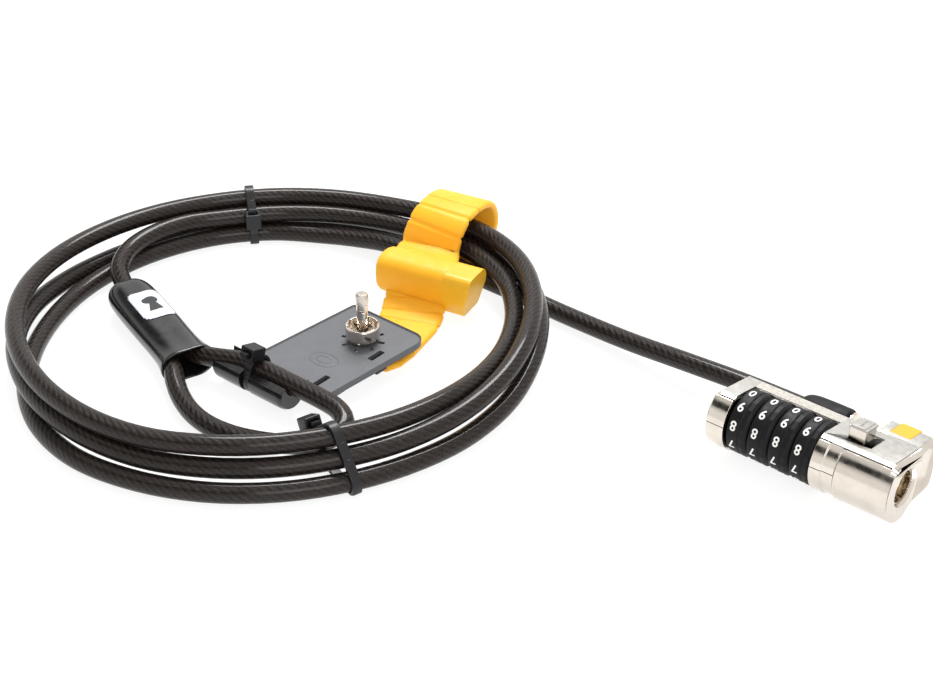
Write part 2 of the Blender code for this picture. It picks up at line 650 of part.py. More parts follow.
def make_card():
    """Carry card: a flat plate for the anchor, with a gutter along one edge that hugs the cable."""
    x = CARD["x"]
    y = CARD["y"]
    plate = prism(rounded_rectangle((x[0], x[1]), (y[0] - 1.4, y[1]), 3.5), *CARD["z"], "Z")
    card = add_solid("anchor_card", plate, "grey")
    inner = arc((GUTTER_Y, GUTTER_Z), CABLE_RADIUS + GAP, 180, 370, 12)
    outer = arc((GUTTER_Y, GUTTER_Z), 4.5, 370, 180, 12)
    gutter = add_cutter("gutter_block", prism(inner + outer, -144.0, -119.0))
    boolean(card, gutter, "UNION")
    slots = {
        "tie_slot_cutter": ring(-138.8, -135.2, 4.6, 6.5, centre=(GUTTER_Y, GUTTER_Z)),
        "card_slot_cutter_1": box((-122.0, -120.8), (-62.0, -57.0), (2, 12)),
        "card_slot_cutter_2": box((-117.6, -116.4), (-50.0, -45.0), (2, 12)),
        "card_hole_cutter": rod(2, 12, 1.75, 20, "Z", ANCHOR_AT),
    }
    cut(card, bpy.data.objects["eye_cutter"], *[add_cutter(name, shape) for name, shape in slots.items()])


def make_anchor():
    """Anchor that goes into the computer's slot: a post with a wider tip, in a cup with a toothed rim."""
    base = CARD["z"][1] + 0.2
    at = (*ANCHOR_AT, base)
    tip = POST_TIP["radius"]
    tip_start = POST_LENGTH - POST_TIP["length"]
    post = [(-2.0, 0), (-2.0, 1.4), (0.9, 1.4), (0.9, POST_RADIUS), (tip_start, POST_RADIUS)]
    post += [(tip_start + 0.3, tip), (POST_LENGTH - 0.5, tip), (POST_LENGTH, tip - 0.4), (POST_LENGTH, 0)]
    add_solid("anchor_post", turned(post, 20, "Z"), "nickel", None, at)
    wall = CUP_RADIUS - 0.9
    cup = [(0.0, 1.75), (0.0, CUP_RADIUS), (4.4, CUP_RADIUS), (4.4, wall), (1.0, wall), (1.0, 1.75)]
    collar = add_solid("anchor_collar", turned(cup, 32, "Z"), "nickel", None, at)
    for i in range(4):
        notch = box((-7, 7), (-0.6, 0.6), (2.6, 6))
        cut(collar, add_cutter(f"rim_notch_cutter_{i + 1}", notch, None, at, 45 * i))


def make_strap():
    """Rubber strap: a band round the coil, the block that closes it and the tail that lies under the card."""
    half = (COIL_OUTER - COIL_INNER) / 2 + GAP
    around = rounded_rectangle((-half - 6.4, half), (2.2, COIL_TOP + 1.0), 4.0, 4)
    at, turn = coil_place(88)
    add_solid("strap_band", band(around, 2.1, 17.0), "yellow", None, at, turn)
    block = prism(rounded_rectangle((-6.0, 6.0), (2.0, 14.4), 4.0), -13.0, 13.0)
    add_solid("strap_clasp", block, "yellow", None, (-130.8, -6.0, 0), 12)
    tail = [(-8.0, 0.2), (8.0, 0.2), (8.0, 2.4), (-8.0, 2.4)]
    add_solid("strap_tail", prism(tail, 0.0, 26.0), "yellow", None, (-127.6, -16.5, 0), -52)


NOSE_CHANNEL = make_case()
make_screws()
make_nose(NOSE_CHANNEL)
make_wheels()
make_button()
make_key_cylinder()
make_swivel()
make_cable()
make_ties()
make_sleeve()
make_card()
make_anchor()
make_strap()
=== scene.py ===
"""Looks of the combination cable lock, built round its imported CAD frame.

Lengths are in millimetres in the part's shared frame until a mesh is finished, then in metres. The lock
head's pieces are modelled in the head's own axes: X along the barrel with 0 at the key end, Y towards the
lug, Z to the top plate. HEAD places them.
"""

import math

import bmesh
import bpy
import numpy as np
from mathutils import Matrix, Vector


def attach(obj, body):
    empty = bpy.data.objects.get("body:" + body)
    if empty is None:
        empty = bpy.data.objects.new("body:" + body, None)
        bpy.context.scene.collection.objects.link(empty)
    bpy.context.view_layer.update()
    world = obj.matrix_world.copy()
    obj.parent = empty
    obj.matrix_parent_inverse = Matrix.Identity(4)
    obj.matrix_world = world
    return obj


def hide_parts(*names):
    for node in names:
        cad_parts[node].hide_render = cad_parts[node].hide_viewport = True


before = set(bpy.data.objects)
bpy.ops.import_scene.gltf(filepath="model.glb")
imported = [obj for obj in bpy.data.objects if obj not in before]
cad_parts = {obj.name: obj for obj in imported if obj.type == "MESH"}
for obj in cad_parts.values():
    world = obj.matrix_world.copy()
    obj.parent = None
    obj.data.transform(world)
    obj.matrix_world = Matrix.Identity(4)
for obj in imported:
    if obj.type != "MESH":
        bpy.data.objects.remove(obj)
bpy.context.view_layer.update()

MM = 0.001
TAU = math.tau

# Lock head, the sizes of its CAD pieces
HEAD_LENGTH = 52.5
HEAD_X = HEAD_LENGTH / 2
HEAD_CENTRE_Y = -4.75
HEAD_ROLL = -10.6
BARREL_RADIUS = 9.45
PLATE_TOP = 7.75
PLATE_LOW = 6.75
CASE_TOP = 6.65
BACK_Y = 8.1
BACK_BOTTOM_Z = -7.5
SPLIT_Z = -0.35
SEAM = 0.14
NOSE_LENGTH = 15.3
WINDOW = (-47.7, -22.1)
WINDOW_FRONT_Y = 3.4
LUG_X = (-13.9, -1.0)
LUG_BACK = 18.2
LUG_BOTTOM = -6.3
SOCKET_X, SOCKET_Z = -7.6, 0.2
BUTTON_PIT = ((-17.1, -1.9), (-3.2, 5.0), (5.1, 9.0))
SCREWS = ((-50.1, 5.4, -8.0), (-18.7, 5.4, -8.0))

WHEEL_AXIS_Z = -0.5
WHEEL_RADIUS = 8.75
WHEEL_WIDTH = 5.9
WHEEL_PITCH = 6.3
WHEEL_FIRST_X = -44.35
DIGIT_HEIGHT = 2.75
DIGIT_HEIGHT_OF_SIZE = 0.72
DIGIT_STEP = 36.0
DIGIT_ZERO_AT = 98.0
DIGIT_DRIFT = 2.3
WHEEL_FLATS = 20
GRIP_BAND = (0.85, 2.3)

# Swivel
CABLE_Y = 9.45
CABLE_AXIS_Z = 9.35
PIVOT_X = -18.8

# Cable
CABLE_DIAMETER = 5.5
CABLE_SPACING, CABLE_SIDES = 1.6, 24
CABLE_RADIUS = CABLE_DIAMETER / 2
STRAND_LAY = 24.0
STRANDS, WIRES = 10, 42
COIL_POLE = Vector((-149.0, -49.9))
LEAD_ROUTE = [
    *((HEAD_X - along, CABLE_Y, CABLE_AXIS_Z) for along in (24.0, 32.0, 40.0)),
    (HEAD_X - 57.0, 9.9, 8.7), (HEAD_X - 76.0, 10.7, 7.0), (HEAD_X - 96.5, 12.2, 4.6),
    (-93.0, 14.0, 3.0), (-108.0, 14.6, 2.85), (-121.0, 13.6, 3.6), (-134.0, 11.6, 5.3),
    (-147.0, 9.8, 5.4), (-158.4, 8.8, 5.3), (-169.0, 7.0, 4.0),
]
# Where the three turns lie on each other: turning angle about the pole, radius and height
TURNS = [
    (120.2, 61.7, 2.85), (128.0, 62.7, 2.75), (149.0, 64.2, 2.75), (185.0, 65.4, 2.75),
    (216.0, 67.0, 2.75), (243.0, 70.8, 2.75), (265.0, 73.4, 2.75), (291.0, 72.3, 2.75),
    (324.0, 71.0, 2.75), (345.0, 71.2, 2.75), (363.0, 72.4, 3.0), (381.0, 74.2, 5.2),
    (396.0, 75.1, 8.4), (420.0, 76.0, 8.6), (440.0, 74.5, 7.2), (464.0, 70.8, 2.9),
    (500.0, 70.1, 2.9), (540.0, 70.8, 3.4), (580.0, 72.2, 7.6), (605.0, 71.0, 8.3),
    (642.0, 68.6, 7.0), (666.0, 67.0, 7.1), (691.0, 66.6, 7.35), (715.0, 69.0, 8.6),
    (738.0, 71.7, 11.4), (756.0, 73.2, 13.9), (784.0, 74.6, 14.0), (805.0, 73.2, 12.6),
    (826.0, 70.9, 11.6), (863.0, 70.3, 11.6), (887.0, 71.5, 12.0), (914.0, 73.0, 12.8),
    (928.0, 73.0, 13.3), (947.0, 71.6, 13.7), (965.0, 70.0, 13.5), (1002.0, 67.0, 12.5),
    (1026.0, 64.2, 12.3), (1051.0, 63.2, 12.2), (1080.0, 64.2, 11.0), (1105.0, 66.2, 9.1),
    (1122.0, 68.2, 8.8), (1143.0, 69.6, 9.2), (1168.0, 67.8, 8.3), (1189.0, 66.4, 8.0),
    (1216.0, 65.8, 8.0), (1230.0, 66.0, 8.2),
]
TURN_STEP = 15.0
TAIL_ROUTE = [
    (-211.6, -26.5, 8.6), (-214.2, -37.5, 8.4), (-213.2, -47.5, 7.9), (-208.6, -55.6, 7.0),
    (-202.0, -60.0, 6.2), (-196.0, -62.6, 5.8), (-186.0, -67.0, 5.6), (-172.0, -73.6, 5.4),
]
EYE_ROUTE = [
    (-158.6, -80.4, 5.2), (-153.2, -84.2, 4.5), (-147.5, -87.4, 3.6), (-140.5, -90.0, 3.1),
    (-133.0, -91.2, 3.05), (-125.0, -90.6, 3.2), (-117.6, -88.5, 3.5), (-110.4, -85.6, 4.2),
    (-103.6, -81.4, 5.2), (-100.2, -76.2, 6.4), (-101.6, -71.4, 7.5), (-106.4, -68.9, 8.1),
    (-113.0, -68.4, 8.3), (-122.0, -68.4, 8.3), (-133.5, -68.4, 8.3), (-142.5, -68.9, 8.0),
    (-150.5, -71.1, 7.0), (-156.8, -72.1, 6.0), (-163.0, -71.3, 5.5), (-170.0, -69.0, 5.3),
    (-178.0, -66.2, 5.2),
]
SLEEVE_START = Vector((-199.5, -61.6, 5.8))
SLEEVE_END = Vector((-156.0, -76.2, 5.0))
LABEL_WIDTH, LABEL_LENGTH = 9.0, 15.0
TIE_BACK_AT, TIE_FRONT_AT = 141.0, 330.5

# Card and anchor
CARD_Z = (5.0, 7.0)
CARD_RECESS = 0.55
CARD_SLOTS = ((-120.8, -60.0), (-117.8, -41.3))
GUTTER_Y, GUTTER_Z = -68.4, 8.3
ANCHOR_AT = (-126.1, -37.6)
STRAP_THICKNESS = 2.2

# Camera
CAMERA_AT = Vector((177.3, -354.25, 287.46))
LOOK_AT = Vector((-106.7, -15.4, 0.0))
LENS = 71.2
DARK_SIDE = (-0.55, -0.83, 0.0)

HEAD = Matrix.Translation((HEAD_X, HEAD_CENTRE_Y, BARREL_RADIUS))
HEAD = HEAD @ Matrix.Rotation(math.radians(HEAD_ROLL), 4, "X")
SWIVEL = Matrix.Translation((HEAD_X + PIVOT_X, CABLE_Y, CABLE_AXIS_Z))


# ---------------------------------------------------------------- camera, light and floor


def make_camera():
    camera = bpy.data.objects.new("camera", bpy.data.cameras.new("camera"))
    camera.data.lens = LENS
    camera.data.sensor_width = 36
    camera.data.clip_start = 0.01
    camera.location = CAMERA_AT * MM
    camera.rotation_euler = (LOOK_AT - CAMERA_AT).to_track_quat("-Z", "Y").to_euler()
    bpy.context.scene.collection.objects.link(camera)
    bpy.context.scene.camera = camera


def add_light(name, at, target, size, power, colour=(1, 1, 1)):
    """A soft area light, its place and size in metres."""
    data = bpy.data.lights.new(name, "AREA")
    data.shape = "RECTANGLE"
    data.size, data.size_y = size
    data.energy = power
    data.color = colour
    light = bpy.data.objects.new(name, data)
    light.location = at
    light.rotation_euler = (Vector(target) - Vector(at)).to_track_quat("-Z", "Y").to_euler()
    bpy.context.scene.collection.objects.link(light)


def add_node(tree, kind, inputs=(), **settings):
    """Shader node with its settings, its first inputs linked or set in order."""
    node = tree.nodes.new("ShaderNode" + kind)
    for key, value in settings.items():
        setattr(node, key, value)
    for i, value in enumerate(inputs):
        if isinstance(value, bpy.types.NodeSocket):
            tree.links.new(value, node.inputs[i])
        elif value is not None:
            node.inputs[i].default_value = value
    return node


def make_room():
    """White studio all round, with one dim band behind the camera that the metal picks up as a dark line."""
    world = bpy.data.worlds.new("studio")
    bpy.context.scene.world = world
    world.use_nodes = True
    tree = world.node_tree
    place = add_node(tree, "TexCoord").outputs["Generated"]
    height = add_node(tree, "SeparateXYZ", [place]).outputs["Z"]
    lift = add_node(tree, "Math", [height, 0.5, 0.5], operation="MULTIPLY_ADD")
    ramp = add_node(tree, "ValToRGB", [lift.outputs[0]])
    stops = ((0.0, 1.0), (0.66, 1.0), (0.735, 0.6), (0.76, 0.03), (0.86, 0.03), (0.885, 0.75), (1.0, 1.1))
    elements = ramp.color_ramp.elements
    while len(elements) < len(stops):
        elements.new(0.5)
    for element, (where, value) in zip(elements, stops):
        element.position = where
        element.color = (value, value * 0.99, value * 0.97, 1)
    facing = add_node(tree, "VectorMath", [place, DARK_SIDE], operation="DOT_PRODUCT")
    edge = add_node(tree, "MapRange", [facing.outputs["Value"], -0.05, 0.25])
    around = add_node(tree, "Mix", [edge.outputs[0]], data_type="RGBA")
    around.inputs[6].default_value = (1, 0.99, 0.97, 1)
    tree.links.new(ramp.outputs[0], around.inputs[7])
    background = tree.nodes["Background"]
    tree.links.new(around.outputs[2], background.inputs["Color"])
    background.inputs["Strength"].default_value = 0.95
    add_light("key", (-0.35, 0.35, 0.75), (-0.11, -0.03, 0), (0.5, 0.25), 8.0)
    add_light("fill", (0.55, -0.55, 0.55), (-0.05, -0.03, 0), (0.5, 0.5), 2.5, (1, 0.985, 0.96))
    bpy.context.scene.view_settings.view_transform = "Standard"


def make_floor():
    bm = bmesh.new()
    bmesh.ops.create_grid(bm, x_segments=1, y_segments=1, size=3.0)
    mesh = bpy.data.meshes.new("floor")
    bm.to_mesh(mesh)
    bm.free()
    floor = bpy.data.objects.new("floor", mesh)
    floor.location.z = -0.0002
    glow = {"Emission_Color": (1, 1, 1, 1), "Emission_Strength": 0.86}
    shader = Shader("floor", Roughness=0.7, Specular_IOR_Level=0.2, **glow)
    shader.colour_between(shader.noise(60, 2), (0.20, 0.20, 0.199), (0.22, 0.22, 0.219))
    mesh.materials.append(shader.material)
    bpy.context.scene.collection.objects.link(floor)


# ---------------------------------------------------------------- materials


class Shader:
    """A Principled material, and short calls for the nodes that feed it. Lengths in it are in metres."""

    def __init__(self, name, **sockets):
        self.material = bpy.data.materials.new(name)
        self.material.use_nodes = True
        self.tree = self.material.node_tree
        self.principled = self.tree.nodes["Principled BSDF"]
        for socket, value in sockets.items():
            self.principled.inputs[socket.replace("_", " ")].default_value = value

    def node(self, kind, inputs=(), **settings):
        return add_node(self.tree, kind, inputs, **settings)

    def math(self, operation, *inputs):
        return self.node("Math", inputs, operation=operation).outputs[0]

    def place(self):
        return self.node("TexCoord").outputs["Object"]

    def uv(self):
        parts = self.node("SeparateXYZ", [self.node("UVMap", uv_map="UVMap").outputs[0]])
        return parts.outputs["X"], parts.outputs["Y"]

    def stretched(self, x, y, z):
        return self.node("Mapping", [self.place(), None, None, (x, y, z)]).outputs[0]

    def noise(self, scale, detail=3, roughness=0.55, place=None):
        inputs = [place or self.place(), None, scale, detail, roughness]
        return self.node("TexNoise", inputs).outputs["Fac"]

    def between(self, value, low, high, start=0.3, end=0.7):
        return self.node("MapRange", [value, start, end, low, high]).outputs[0]

    def mix(self, factor, first, second):
        node = self.node("Mix", data_type="RGBA")
        for socket, value in (("Factor", factor), ("A", first), ("B", second)):
            is_colour = socket != "Factor"
            target = next(s for s in node.inputs if s.name == socket and (s.type == "RGBA") == is_colour)
            if isinstance(value, bpy.types.NodeSocket):
                self.tree.links.new(value, target)
            else:
                target.default_value = (*value, 1) if is_colour else value
        return next(s for s in node.outputs if s.type == "RGBA")

    def blend(self, first, share, second, other):
        """Weighted sum of two values."""
        return self.math("ADD", self.math("MULTIPLY", first, share), self.math("MULTIPLY", second, other))

    def set(self, socket, value):
        self.tree.links.new(value, self.principled.inputs[socket])

    def colour_between(self, value, low, high, start=0.3, end=0.7):
        self.set("Base Color", self.mix(self.between(value, 0, 1, start, end), low, high))

    def bump(self, height, distance, strength=1.0):
        node = self.node("Bump")
        node.inputs["Strength"].default_value = strength
        node.inputs["Distance"].default_value = distance
        self.tree.links.new(height, node.inputs["Height"])
        self.set("Normal", node.outputs[0])


def nickel():
    """Bright warm nickel plate with a faint orange peel and softer patches where it is handled."""
    s = Shader("bright_nickel", Metallic=1.0, IOR=1.5)
    s.colour_between(s.noise(160, 4), (0.70, 0.635, 0.56), (0.80, 0.74, 0.67))
    s.set("Roughness", s.between(s.noise(420, 5), 0.09, 0.24))
    s.bump(s.noise(700, 3), 0.000012)
    return s.material


def satin():
    """Blasted nickel: fine even grain that scatters the light."""
    s = Shader("satin_nickel", Metallic=1.0)
    grain = s.noise(5200, 4, 0.7)
    s.colour_between(s.blend(grain, 0.6, s.noise(500, 3), 0.4), (0.40, 0.39, 0.37), (0.56, 0.55, 0.52))
    s.set("Roughness", s.between(s.noise(900, 3), 0.36, 0.52))
    s.bump(grain, 0.00003, 0.6)
    return s.material


def bright_grain():
    """The narrow strip over the wheels: brighter, with coarser grain."""
    s = Shader("grained_nickel", Metallic=1.0)
    grain = s.noise(2600, 5, 0.75)
    s.colour_between(grain, (0.50, 0.47, 0.43), (0.84, 0.80, 0.74))
    s.set("Roughness", s.between(s.noise(1500, 3), 0.25, 0.48))
    s.bump(grain, 0.00006, 0.8)
    return s.material


def machined(name, dark, light, low, high):
    """Turned or pressed metal with fine lines along X and slight stains."""
    s = Shader(name, Metallic=1.0)
    lines = s.noise(300, 4, 0.6, s.stretched(40, 3, 3))
    s.colour_between(s.blend(lines, 0.7, s.noise(240, 4), 0.3), dark, light)
    s.set("Roughness", s.between(s.noise(600, 3), low, high))
    s.bump(lines, 0.00001, 0.6)
    return s.material


def plastic(name, dark, light, roughness, grain=1800, depth=0.00002, coat=0.0, patches=90, specular=0.5):
    """Moulded plastic: slow colour drift, fine surface grain and uneven shine."""
    s = Shader(name, Specular_IOR_Level=specular, Coat_Weight=coat, Coat_Roughness=0.08)
    fine = s.noise(grain, 3, 0.6)
    s.colour_between(s.blend(s.noise(patches, 3), 0.7, fine, 0.3), dark, light)
    s.set("Roughness", s.between(s.noise(patches * 4, 3), *roughness))
    s.bump(fine, depth)
    return s.material


def cable_jacket():
    """Clear dark vinyl over a twisted steel rope: strands of fine wires under a glossy skin, with painted
    glints of the wires as bright specks in the colour.
    """
    coat = {"Coat_Weight": 0.6, "Coat_Roughness": 0.13, "Coat_IOR": 1.38}
    s = Shader("cable_jacket", Specular_IOR_Level=0.12, **coat)
    around, along = s.uv()
    twisted = s.math("MULTIPLY", s.math("SUBTRACT", around, s.math("DIVIDE", along, STRAND_LAY)), TAU)
    strand = s.math("SINE", s.math("MULTIPLY", twisted, STRANDS))
    wires = s.math("SINE", s.math("ADD", s.math("MULTIPLY", twisted, WIRES), s.math("MULTIPLY", strand, 0.9)))

    def twisted_noise(per_millimetre, scale, detail, roughness):
        parts = [s.math("COSINE", twisted), s.math("SINE", twisted)]
        parts.append(s.math("MULTIPLY", along, per_millimetre))
        return s.noise(scale, detail, roughness, s.node("CombineXYZ", parts).outputs[0])

    streaks = twisted_noise(0.09, 7.5, 4, 0.65)
    painted_glints = twisted_noise(0.17, 19, 2, 0.5)
    shape = s.blend(strand, 0.17, wires, 0.10)
    shape = s.math("ADD", shape, s.math("MULTIPLY", streaks, 1.35))
    base = s.mix(s.between(shape, 0, 1, 0.35, 1.15), (0.0016, 0.0010, 0.0009), (0.030, 0.020, 0.0155))
    # Painted glints: bright specks mixed into the base colour where the wires would catch the light, and made
    # partly metallic there as well.
    s.set("Base Color", s.mix(s.between(painted_glints, 0, 1, 0.66, 0.76), base, (0.22, 0.19, 0.165)))
    s.set("Roughness", s.between(streaks, 0.34, 0.52))
    s.set("Metallic", s.between(painted_glints, 0.0, 0.5, 0.60, 0.80))
    s.bump(s.blend(strand, 0.5, wires, 0.15), 0.00013)
    return s.material


def silicone():
    """Yellow silicone: soft, slightly translucent, with a powdery bloom."""
    soft = {"Subsurface_Weight": 0.25, "Subsurface_Radius": (0.004, 0.0018, 0.0004), "Subsurface_Scale": 0.6}
    s = Shader("yellow_silicone", Specular_IOR_Level=0.35, Sheen_Weight=0.08, **soft)
    s.colour_between(s.noise(70, 4), (0.88, 0.42, 0.010), (0.94, 0.48, 0.016))
    s.set("Roughness", s.between(s.noise(350, 4), 0.42, 0.60))
    s.bump(s.noise(1500, 3), 0.000015)
    return s.material


def label_print():
    """Pale printed label with a plain keyhole on it."""
    s = Shader("sleeve_print")
    across, along = s.uv()
    side = s.math("ABSOLUTE", s.math("MULTIPLY", s.math("SUBTRACT", across, 0.5), LABEL_WIDTH))
    down = s.math("MULTIPLY", s.math("SUBTRACT", along, 0.36), LABEL_LENGTH)
    squares = [s.math("POWER", side, 2.0), s.math("POWER", s.math("ABSOLUTE", down), 2.0)]
    from_centre = s.math("SQRT", s.math("ADD", *squares))
    disc = s.math("LESS_THAN", from_centre, 1.9)
    wedge = s.math("LESS_THAN", s.math("SUBTRACT", side, s.math("MULTIPLY", down, 0.22)), 0.5)
    within = s.math("MULTIPLY", s.math("GREATER_THAN", down, 0.0), s.math("LESS_THAN", down, 5.6))
    keyhole = s.math("MAXIMUM", disc, s.math("MULTIPLY", wedge, within))
    worn = s.mix(s.between(s.noise(900, 4), 0, 1), (0.55, 0.60, 0.68), (0.68, 0.72, 0.78))
    s.set("Base Color", s.mix(keyhole, worn, (0.012, 0.012, 0.014)))
    s.set("Roughness", s.between(s.noise(1300, 2), 0.30, 0.45))
    s.bump(s.noise(1800, 3), 0.000008)
    return s.material


# ---------------------------------------------------------------- mesh tools


def prism(outline, low, high, axis="X"):
    """Extrudes a closed outline: (y, z) along X, (x, z) along Y or (x, y) along Z."""
    place = {
        "X": lambda a, b, c: (c, a, b),
        "Y": lambda a, b, c: (a, c, b),
        "Z": lambda a, b, c: (a, b, c),
    }[axis]
    return loft([[place(a, b, level) for a, b in outline] for level in (low, high)])


def loft(rings, capped=True, closed=False):
    """Skins rings of points that have the same count."""
    bm = bmesh.new()
    rows = [[bm.verts.new(p) for p in ring] for ring in rings]
    pairs = list(zip(rows, rows[1:]))
    if closed:
        pairs.append((rows[-1], rows[0]))
    count = len(rows[0])
    for first, second in pairs:
        for i in range(count):
            j = (i + 1) % count
            bm.faces.new((first[i], first[j], second[j], second[i]))
    if capped and not closed:
        bm.faces.new(rows[0])
        bm.faces.new(rows[-1])
    return bm


def rectangle(x, y):
    return [(x[0], y[0]), (x[1], y[0]), (x[1], y[1]), (x[0], y[1])]


def box(x, y, z):
    return prism(rectangle(x, y), z[0], z[1], "Z")


def arc(centre, radius, start, end, steps):
    angles = np.radians(np.linspace(start, end, steps + 1))
    return [(centre[0] + radius * math.cos(a), centre[1] + radius * math.sin(a)) for a in angles]


def rounded_outline(corners, steps=8):
    """Closed outline through (x, y, radius) corners, each rounded by its own radius."""
    points = []
    for i, (x, y, radius) in enumerate(corners):
        here = Vector((x, y))
        before = (Vector(corners[i - 1][:2]) - here).normalized()
        after = (Vector(corners[(i + 1) % len(corners)][:2]) - here).normalized()
        half = before.angle(after) / 2
        reach = radius / math.tan(half)
        start, end = here + before * reach, here + after * reach
        for k in range(steps + 1):
            t = k / steps
            points.append(tuple(start * (1 - t) ** 2 + here * 2 * t * (1 - t) + end * t**2))
    return points


def turned(profile, steps, axis="X", centre=(0.0, 0.0), radius_at=None):
    """Turns a closed profile of (along, radius) points. radius_at may shape the round."""
    place = {
        "X": lambda along, a, b: (along, centre[0] + a, centre[1] + b),
        "Y": lambda along, a, b: (centre[0] + a, along, centre[1] + b),
        "Z": lambda along, a, b: (centre[0] + a, centre[1] + b, along),
    }[axis]
    bm = bmesh.new()
    rings = []
    for along, radius in profile:
        if radius == 0:
            rings.append([bm.verts.new(place(along, 0.0, 0.0))])
            continue
        ring = []
        for i in range(steps):
            angle = TAU * i / steps
            reach = radius_at(along, radius, angle) if radius_at else radius
            ring.append(bm.verts.new(place(along, reach * math.cos(angle), reach * math.sin(angle))))
        rings.append(ring)
    for first, second in zip(rings, rings[1:] + rings[:1]):
        if len(first) == 1 and len(second) == 1:
            continue
        for i in range(steps):
            j = (i + 1) % steps
            corners = [first[i % len(first)], first[j % len(first)]]
            corners += [second[j % len(second)], second[i % len(second)]]
            bm.faces.new(list(dict.fromkeys(corners)))
    return bm


def rod(low, high, radius, steps=48, axis="X", centre=(0.0, 0.0)):
    return turned([(low, 0), (low, radius), (high, radius), (high, 0)], steps, axis, centre)


def signed_power(value, power):
    return math.copysign(abs(value) ** power, value)


def distances(points):
    """How far along a line of points each of them lies."""
    return np.concatenate([[0], np.cumsum(np.linalg.norm(np.diff(points, axis=0), axis=1))])


def smooth_path(points, spacing):
    """Points at an even spacing on the smooth curve through a route's own points."""
    knots = [Vector(p) for p in points]
    knots = [knots[0] * 2 - knots[1], *knots, knots[-1] * 2 - knots[-2]]
    dense = []
    for before, start, end, after in zip(knots, knots[1:], knots[2:], knots[3:]):
        for i in range(16):
            t = i / 16
            square = 2 * before - 5 * start + 4 * end - after
            cube = 3 * start - before - 3 * end + after
            dense.append(0.5 * (2 * start + (end - before) * t + square * t**2 + cube * t**3))
    dense.append(knots[-2])
    dense = np.array(dense)
    walked = distances(dense)
    count = max(2, round(walked[-1] / spacing))
    even = np.linspace(0, walked[-1], count + 1)
    return [Vector([np.interp(d, walked, dense[:, k]) for k in range(3)]) for d in even]


def ease(keys, at):
    """Value of each column of the keys at one place of their first column, easing between neighbours."""
    table = np.array(keys, float)
    i = int(np.clip(np.searchsorted(table[:, 0], at) - 1, 0, len(table) - 2))
    low, high = table[i], table[i + 1]
    before, after = table[max(i - 1, 0)], table[min(i + 2, len(table) - 1)]
    span = high[0] - low[0]
    t = (at - low[0]) / span
    slope_low = (high[1:] - before[1:]) / (high[0] - before[0]) * span
    slope_high = (after[1:] - low[1:]) / (after[0] - low[0]) * span
    return (
        (2 * t**3 - 3 * t**2 + 1) * low[1:]
        + (t**3 - 2 * t**2 + t) * slope_low
        + (-2 * t**3 + 3 * t**2) * high[1:]
        + (t**3 - t**2) * slope_high
    )


def add_object(name, bm, place=None):
    """Object from a bmesh in millimetres, put in place and turned into metres."""
    bmesh.ops.recalc_face_normals(bm, faces=bm.faces)
    bm.transform(Matrix.Scale(MM, 4) @ (place or Matrix.Identity(4)))
    mesh = bpy.data.meshes.new(name)
    bm.to_mesh(mesh)
    bm.free()
    mesh.shade_smooth()
    obj = bpy.data.objects.new(name, mesh)
    bpy.context.scene.collection.objects.link(obj)
    return obj


def carve(obj, cutters, place=None, operation="DIFFERENCE"):
    """Cuts meshes out of an object, or joins them to it, and keeps only the result."""
    helpers = []
    for i, bm in enumerate(cutters):
        helper = add_object(f"{obj.name}_tool_{i}", bm, place)
        modifier = obj.modifiers.new(helper.name, "BOOLEAN")
        modifier.operation = operation
        modifier.object = helper
        modifier.solver = "EXACT"
        helpers.append(helper)
    settle(obj)
    for helper in helpers:
        bpy.data.objects.remove(helper, do_unlink=True)


def settle(obj):
    """Applies the object's modifiers."""
    graph = bpy.context.evaluated_depsgraph_get()
    final = obj.evaluated_get(graph)
    mesh = bpy.data.meshes.new_from_object(final, preserve_all_data_layers=True, depsgraph=graph)
    obj.modifiers.clear()
    obj.data = mesh


def soften(obj, width, segments=3, angle=32):
    """Rounds the edges and keeps flat faces flat in the shading."""
    obj.data.shade_smooth()
    bevel = obj.modifiers.new("edges", "BEVEL")
    bevel.width = width * MM
    bevel.segments = segments
    bevel.limit_method = "ANGLE"
    bevel.angle_limit = math.radians(angle)
    bevel.use_clamp_overlap = True
    bevel.miter_outer = "MITER_ARC"
    weighted = obj.modifiers.new("normals", "WEIGHTED_NORMAL")
    weighted.keep_sharp = False
    weighted.weight = 80
    settle(obj)


def own(obj, material, body, nodes=()):
    """Gives a finished piece its material, its body and the CAD nodes that it stands for."""
    obj.data.materials.clear()
    obj.data.materials.append(material)
    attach(obj, body)
    if nodes:
        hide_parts(*nodes)
    return obj


def piece(name, bm, material, body, nodes=(), place=None, tools=(), edge=()):
    """Finished piece in one call: the mesh, what is cut out of it, its rounded edges and its owner."""
    obj = add_object(name, bm, place)
    if tools:
        carve(obj, tools, place)
    soften(obj, *edge)
    return own(obj, material, body, nodes)


# ---------------------------------------------------------------- cable


def coil_point(angle):
    radius, height = ease(TURNS, angle)
    turn = math.radians(angle)
    height = max(height, CABLE_RADIUS + 0.02)
    return (COIL_POLE.x + radius * math.cos(turn), COIL_POLE.y + radius * math.sin(turn), height)


def cable_route():
    """The whole cable: the lead, three turns worked out round the pole, the tail, the sleeve and the eye."""
    count = round((TURNS[-1][0] - TURNS[0][0]) / TURN_STEP)
    turns = [coil_point(a) for a in np.linspace(TURNS[0][0], TURNS[-1][0], count + 1)]
    return LEAD_ROUTE + turns + TAIL_ROUTE + EYE_ROUTE


